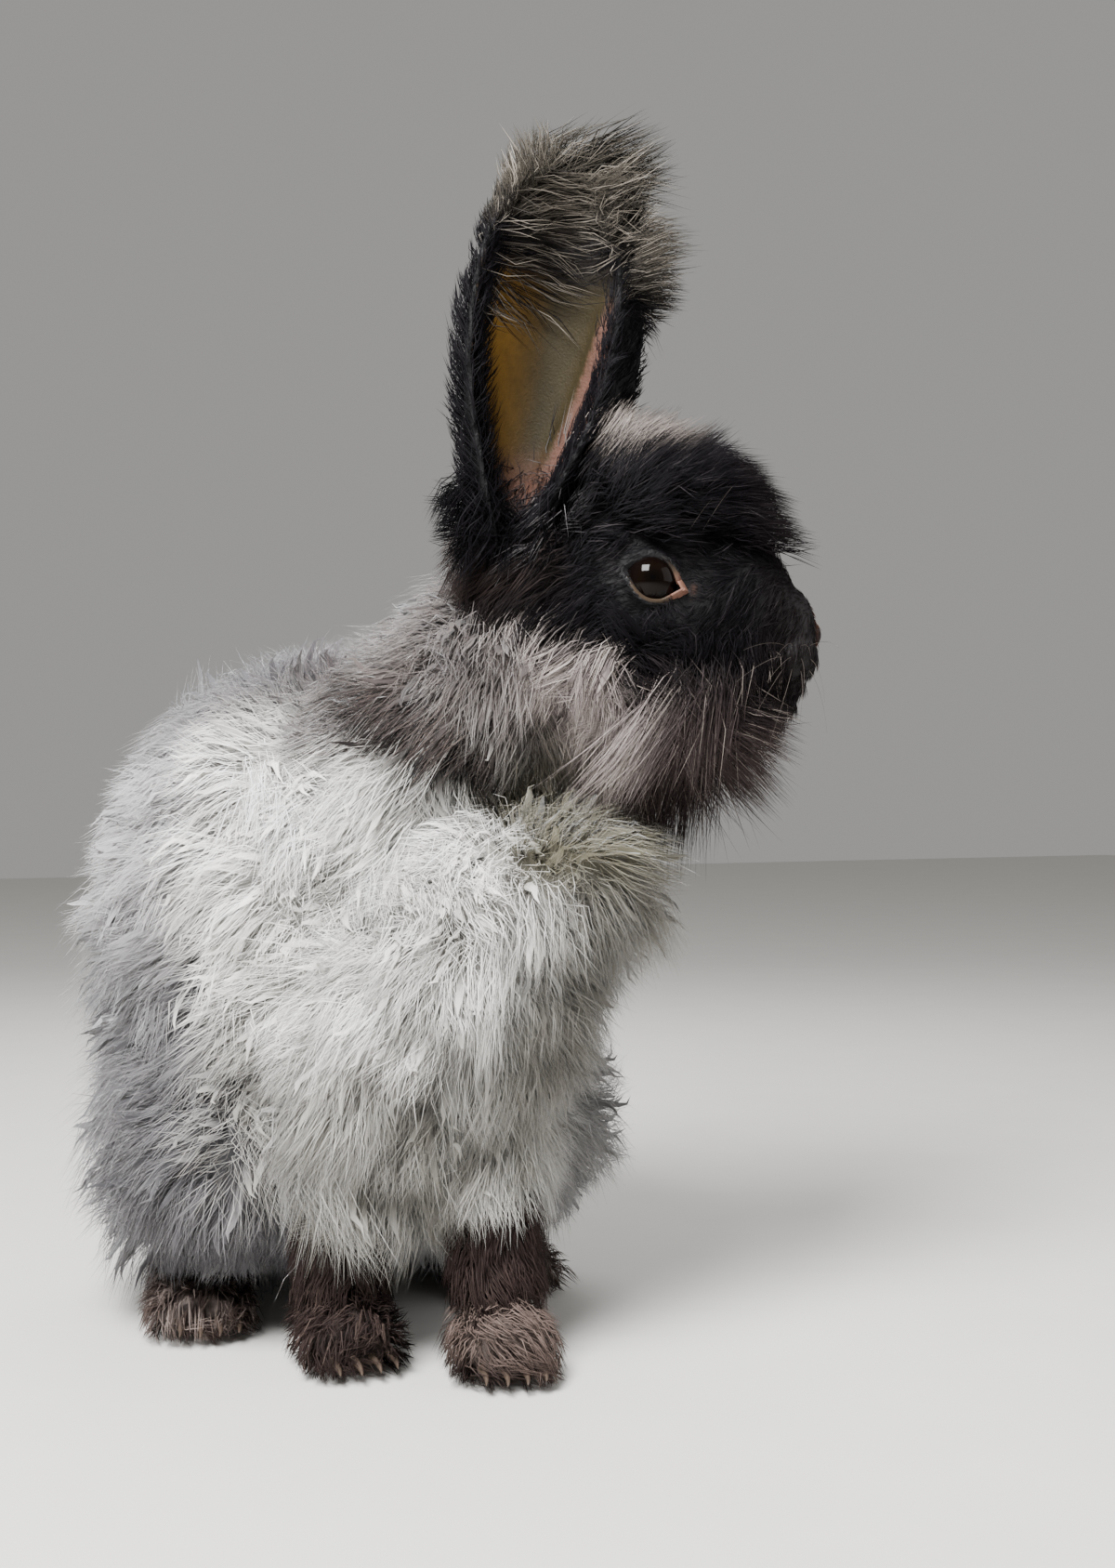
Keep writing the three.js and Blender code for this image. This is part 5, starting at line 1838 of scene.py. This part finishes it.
@dataclass
class Lids:
    """The bare rim round the opening of one eye, with sizes in mm."""

    side: str
    space: Space
    thick: float = 0.6
    high: float = 0.8
    off_ball: float = 0.4
    below: float = 0.3  # more thickness on the lower edge
    towards_nose: float = 0.7  # on the front half
    corner: float = 2.4  # and in the front corner
    sides: int = 12

    def build(self) -> None:
        """Sweeps a small section along the opening, thicker at its front corner."""
        along, top, low = almond()
        x, z = np.vstack([np.c_[along, top], np.c_[along, low][-2:0:-1]]).T
        ahead = x * math.cos(LID_TILT) - z * math.sin(LID_TILT)
        up = x * math.sin(LID_TILT) + z * math.cos(LID_TILT)
        out = np.sqrt(np.maximum((EYE_RADIUS + self.off_ball) ** 2 - ahead**2 - up**2, 11))
        path = np.stack([ahead, out, up], -1)
        way = unit(np.roll(path, -1, 0) - np.roll(path, 1, 0))
        outward = unit(path)
        side = unit(np.cross(way, outward))
        wide = self.thick + self.below * ease(1, -4, z) + self.towards_nose * ease(-3, 5, x)
        wide += self.corner * ease(4.0, 9.5, x)
        turns = np.linspace(0, 2 * math.pi, self.sides, endpoint=False)[None, :, None]
        ring = path[:, None] + (
            np.cos(turns) * side[:, None] * wide[:, None, None] + np.sin(turns) * outward[:, None] * self.high
        )
        ring[..., 1] *= SIDES[self.side]
        ring = ring + eye_middle(SIDES[self.side])
        index = np.arange(len(path) * self.sides).reshape(len(path), self.sides)
        a, b = index, np.roll(index, -1, 1)
        c, d = np.roll(a, -1, 0), np.roll(b, -1, 0)
        faces = np.stack([a, b, d, c], -1).reshape(-1, 4)
        if self.side == "right":
            faces = faces[:, ::-1]
        self.object = mesh_object(f"lid_rim_{self.side}", self.space.row(in_head(ring.reshape(-1, 3))), faces)
        self.paint_rim(np.repeat(x, self.sides), np.repeat(z, self.sides))

    def paint_rim(self, x: np.ndarray, z: np.ndarray) -> None:
        """Colours the rim: dark above, where hair shades it, brown below, and flesh pink in the corner.

        Args:
            x: Each point's place along the opening.
            z: Its height there.
        """
        flesh = ease(5.0, 8.5, x)[:, None]
        bare = ease(4.5, -1.5, z - x * 0.9)[:, None]
        rim = linear("#0f0b0a") * (1 - bare) + linear("#33291f") * bare
        paint(self.object, "marking", rim * (1 - flesh) + linear("#6e4f43") * flesh)

    def dress(self) -> None:
        """Gives the rim its moist skin."""
        self.object.data.materials.append(LID_SKIN.material())
        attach(self.object, "root")


class Grown:
    """A piece that a tree of Geometry Nodes makes from a few points or paths."""

    def __init__(self, name: str, points: np.ndarray, edges: list[tuple[int, int]]) -> None:
        """Makes the object that the tree works on and the tree's first nodes.

        Args:
            name: Of the piece.
            points: In metres.
            edges: The pairs of points that are joined.
        """
        mesh = bpy.data.meshes.new(name)
        mesh.from_pydata([tuple(point) for point in points], edges, [])
        self.object = bpy.data.objects.new(name, mesh)
        bpy.context.scene.collection.objects.link(self.object)
        self.tree = bpy.data.node_groups.new(name, "GeometryNodeTree")
        for way in ("INPUT", "OUTPUT"):
            self.tree.interface.new_socket("Geometry", in_out=way, socket_type="NodeSocketGeometry")
        self.values = {}
        self.input = node(self.tree, "NodeGroupInput")

    def ask(self, label: str, kind: str, value: object) -> bpy.types.NodeSocket:
        """Adds a named input to the tree.

        Args:
            label: Its name.
            kind: The type of its socket.
            value: What the piece sets it to.

        Returns:
            The socket that other nodes read.
        """
        socket = self.tree.interface.new_socket(label, in_out="INPUT", socket_type=kind)
        self.values[socket.identifier] = value
        return self.input.outputs[label]

    def finish(self, geometry: bpy.types.NodeSocket, material: bpy.types.Material) -> None:
        """Ends the tree, runs it and keeps the mesh that it makes.

        Args:
            geometry: What the tree made.
            material: What it is made of.
        """
        wanted = self.ask("Material", "NodeSocketMaterial", material)
        realized = node(self.tree, "GeometryNodeRealizeInstances", {"Geometry": geometry})
        dressed = {"Geometry": realized.outputs["Geometry"], "Material": wanted}
        coloured = node(self.tree, "GeometryNodeSetMaterial", dressed)
        node(self.tree, "NodeGroupOutput", {"Geometry": coloured.outputs["Geometry"]})
        modifier = self.object.modifiers.new("grown", "NODES")
        modifier.node_group = self.tree
        for identifier, value in self.values.items():
            modifier[identifier] = value
        applied(self.object)
        self.object.data.shade_smooth()


def tapered(
    tree: bpy.types.NodeTree, curve: bpy.types.NodeSocket, radius: bpy.types.NodeSocket
) -> bpy.types.NodeSocket:
    """Adds a round tube along a curve that narrows to a point at its end.

    Args:
        tree: The tree to add to.
        curve: The curves.
        radius: Of the tube at their start, in metres.

    Returns:
        The tubes.
    """
    bluntness, least = 0.6, 0.00003  # the power of its fall, and metres at the tip
    along = node(tree, "GeometryNodeSplineParameter")
    left = node(tree, "ShaderNodeMath", {0: 1.0, 1: along.outputs["Factor"]}, operation="SUBTRACT")
    slim = node(tree, "ShaderNodeMath", {0: left.outputs["Value"], 1: bluntness}, operation="POWER")
    wide = node(tree, "ShaderNodeMath", {0: slim.outputs["Value"], 1: radius}, operation="MULTIPLY")
    kept = node(tree, "ShaderNodeMath", {0: wide.outputs["Value"], 1: least}, operation="MAXIMUM")
    ring = node(tree, "GeometryNodeCurvePrimitiveCircle", {"Resolution": 6, "Radius": 1.0})
    sweep = {"Curve": curve, "Profile Curve": ring.outputs["Curve"], "Scale": kept.outputs["Value"]}
    return node(tree, "GeometryNodeCurveToMesh", {**sweep, "Fill Caps": True}).outputs["Mesh"]


@dataclass
class Whiskers:
    """Long single hairs on the muzzle and over the eyes, with lengths in mm."""

    space: Space
    rows: int = 3
    in_row: int = 4
    length: tuple[float, float] = (21, 34)
    brow_length: tuple[float, float] = (18, 24)
    spread: float = 0.08  # how much their directions differ
    radius: float = 0.08
    seed: int = 71

    def build(self) -> None:
        """Lays the paths and sweeps them with a tapered tube."""
        draw = np.random.default_rng(self.seed)
        paths = []
        for side in SIDES.values():
            for row in range(self.rows):
                for place in range(self.in_row):
                    root = np.array([64 - place * 2.6, side * (11 + place * 1.4), -16 - row * 3.2])
                    way = np.array([0.2 - place * 0.25, side * 1.0, 0.15 - row * 0.28])
                    paths.append(self.path(root, way, self.length, draw))
            for place in range(2):
                root = np.array([26 + place * 4, side * (26 - place), 17])
                paths.append(self.path(root, np.array([0.5, side * 0.8, 0.9]), self.brow_length, draw))
        points = self.space.row(in_head(np.vstack(paths)))
        each = len(paths[0])
        edges = [(i, i + 1) for i in range(len(points) - 1) if (i + 1) % each]
        grown = Grown("whiskers", points, edges)
        radius = grown.ask("Thickness", "NodeSocketFloat", self.radius * MM)
        curve = node(grown.tree, "GeometryNodeMeshToCurve", {"Mesh": grown.input.outputs["Geometry"]})
        grown.finish(tapered(grown.tree, curve.outputs["Curve"], radius), BRISTLE.material())
        self.object = grown.object

    def path(
        self, root: np.ndarray, way: np.ndarray, length: tuple[float, float], draw: np.random.Generator
    ) -> np.ndarray:
        """A curve that leaves its root and sinks under its weight.

        Args:
            root: Head point.
            way: The direction in the head's frame.
            length: The shortest and the longest.
            draw: The random draws.

        Returns:
            Head points.
        """
        way = unit(way + draw.normal(0, self.spread, 3))
        reach = draw.uniform(*length)
        share = np.linspace(0, 1, 9)[:, None]
        sag = np.array([-0.12, 0, -0.28]) * reach * draw.uniform(0.7, 1.2)
        return root + way * reach * share + sag * share**2

    def dress(self) -> None:
        """Hands the whiskers over."""
        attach(self.object, "root")


@dataclass
class Claws:
    """Four dark claws on each foot, with sizes in mm."""

    space: Space
    length: float = 9.0
    radius: float = 1.35
    toes: int = 4
    fore: tuple[float, float] = (14.5, 6.5)  # half the width of the foot, and the height of its claws
    hind: tuple[float, float] = (15, 7)
    raised: float = 0.55  # where the bend stands, as a share of the length
    hump: float = 0.16  # and how far out it is
    dip: float = -0.3  # how far the claws point down

    def build(self) -> None:
        """Sets one curved claw before each toe."""
        places, ways = [], []
        for legs, origin, (half, height) in ((FORELEGS, "wrist", self.fore), (HIND_FEET, "heel", self.hind)):
            for leg in legs.values():
                toes, start = np.array(leg["toes"], float), np.array(leg[origin][:2], float)
                ahead = unit(toes - start)
                side = np.array([-ahead[1], ahead[0]])
                for toe in range(self.toes):
                    share = ((toe + 0.5) / (self.toes / 2) - 1) * 0.8
                    middle = toes + side * share * half + ahead * (-1 - share**2 * half * 0.45)
                    places.append([*middle, height])
                    ways.append([*ahead, self.dip])
        grown = Grown("claws", self.space.row(np.array(places)), [])
        layer = grown.object.data.attributes.new("way", "FLOAT_VECTOR", "POINT")
        layer.data.foreach_set("vector", np.array(ways, np.float32).ravel())
        length = grown.ask("Length", "NodeSocketFloat", self.length * MM)
        radius = grown.ask("Thickness", "NodeSocketFloat", self.radius * MM)
        tree = grown.tree
        end = node(tree, "ShaderNodeCombineXYZ", {"Z": length})
        raised = node(tree, "ShaderNodeMath", {0: length, 1: self.raised}, operation="MULTIPLY")
        hump = node(tree, "ShaderNodeMath", {0: length, 1: self.hump}, operation="MULTIPLY")
        bend = {"Z": raised.outputs["Value"], "X": hump.outputs["Value"]}
        middle = node(tree, "ShaderNodeCombineXYZ", bend)
        arc = {"Resolution": 8, "Middle": middle.outputs["Vector"], "End": end.outputs["Vector"]}
        curve = node(tree, "GeometryNodeCurveQuadraticBezier", {**arc, "Start": (0, 0, 0)})
        claw = tapered(tree, curve.outputs["Curve"], radius)
        way = node(tree, "GeometryNodeInputNamedAttribute", {"Name": "way"}, data_type="FLOAT_VECTOR")
        turn = node(tree, "FunctionNodeAlignRotationToVector", {"Vector": way.outputs["Attribute"]}, axis="Z")
        put = {"Points": grown.input.outputs["Geometry"], "Instance": claw}
        put["Rotation"] = turn.outputs["Rotation"]
        set_out = node(tree, "GeometryNodeInstanceOnPoints", put)
        grown.finish(set_out.outputs["Instances"], CLAW_HORN.material())
        self.object = grown.object

    def dress(self) -> None:
        """Hands the claws over."""
        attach(self.object, "root")


@dataclass(frozen=True)
class Light:
    """A large soft light that looks at the rabbit's middle. Place and size are in mm."""

    name: str
    place: tuple[float, float, float]
    size: float
    power: float  # W

    def build(self, space: Space) -> None:
        """Puts the light in the scene.

        Args:
            space: Places it.
        """
        data = bpy.data.lights.new(self.name, "AREA")
        data.size = self.size * MM
        data.energy = self.power
        made = bpy.data.objects.new(self.name, data)
        made.location = space.row(np.array(self.place, float))
        aim = space.row(np.array([0.0, 60, 170]))
        made.rotation_euler = (Vector(aim) - made.location).to_track_quat("-Z", "Y").to_euler()
        bpy.context.scene.collection.objects.link(made)


@dataclass
class Studio:
    """The pale floor, soft lights and the camera at the photograph's angle. Sizes are in mm."""

    space: Space
    camera: tuple[float, float, float] = (-211.9, -519.7, 174.0)
    look: tuple[float, float, float] = (0.438, 0.899, 0.0)
    film: float = 36.0  # height
    focal: float = 2000.0  # in pixels of the photograph
    pixels: float = 1687.0  # its height
    floor_half: float = 3000.0
    floor_drop: float = 0.2  # how far the floor lies below the soles
    world: str = "#e6e4e1"
    world_strength: float = 0.43
    lights: tuple[Light, ...] = (
        Light("key", (-430, -430, 860), 400, 37.0),
        Light("fill", (520, -420, 420), 520, 1.5),
        Light("back", (200, 620, 700), 480, 4.0),
    )

    def build(self) -> None:
        """Makes the camera, the floor, the lights and the even light all round."""
        data = bpy.data.cameras.new("view")
        data.sensor_fit = "VERTICAL"
        data.sensor_height = self.film
        data.lens = self.film * self.focal / self.pixels
        data.clip_start = 0.01
        camera = bpy.data.objects.new("view", data)
        camera.location = self.space.row(np.array(self.camera))
        camera.rotation_euler = Vector(self.look).to_track_quat("-Z", "Y").to_euler()
        bpy.context.scene.collection.objects.link(camera)
        bpy.context.scene.camera = camera
        self.floor()
        for light in self.lights:
            light.build(self.space)
        world = bpy.data.worlds.new("soft")
        bpy.context.scene.world = world
        world.use_nodes = True
        background = world.node_tree.nodes["Background"]
        background.inputs["Color"].default_value = (*linear(self.world), 1)
        background.inputs["Strength"].default_value = self.world_strength

    def floor(self) -> None:
        """A wide, flat, pale floor."""
        half = self.floor_half
        points = np.array([[-half, -half, 0], [half, -half, 0], [half, half, 0], [-half, half, 0]])
        drop = [0, 0, self.floor_drop * MM]
        made = mesh_object("floor", self.space.row(points) - drop, np.array([[0, 1, 2, 3]]))
        paint(made, "marking", np.tile(linear("#d9d7d3"), (4, 1)))
        made.data.materials.append(FLOOR_PAPER.material())


def main() -> None:
    """Builds everything in order."""
    logging.basicConfig(level=logging.INFO, format="%(message)s", stream=sys.stdout)
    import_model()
    bpy.context.view_layer.update()
    space = Space()
    Studio(space).build()
    markings = Markings()
    skin = Skin(space)
    skin.build()
    skin.dress(markings)
    wool, hair = ANGORA_WOOL.material(), DARK_HAIR.material()
    for growth in GROWTHS:
        coat = Coat(skin, growth)
        coat.build()
        coat.dress(markings, wool if growth.slot == "wool" else hair)
    pieces = [Whiskers(space), Claws(space)]
    for side in SIDES:
        pieces += [Eye(side, space), Lids(side, space)]
    for piece in pieces:
        piece.build()
        piece.dress()
        log.info("%s: %d faces", piece.object.name, len(piece.object.data.polygons))
    bpy.context.view_layer.update()


if __name__ == "__main__":
    main()
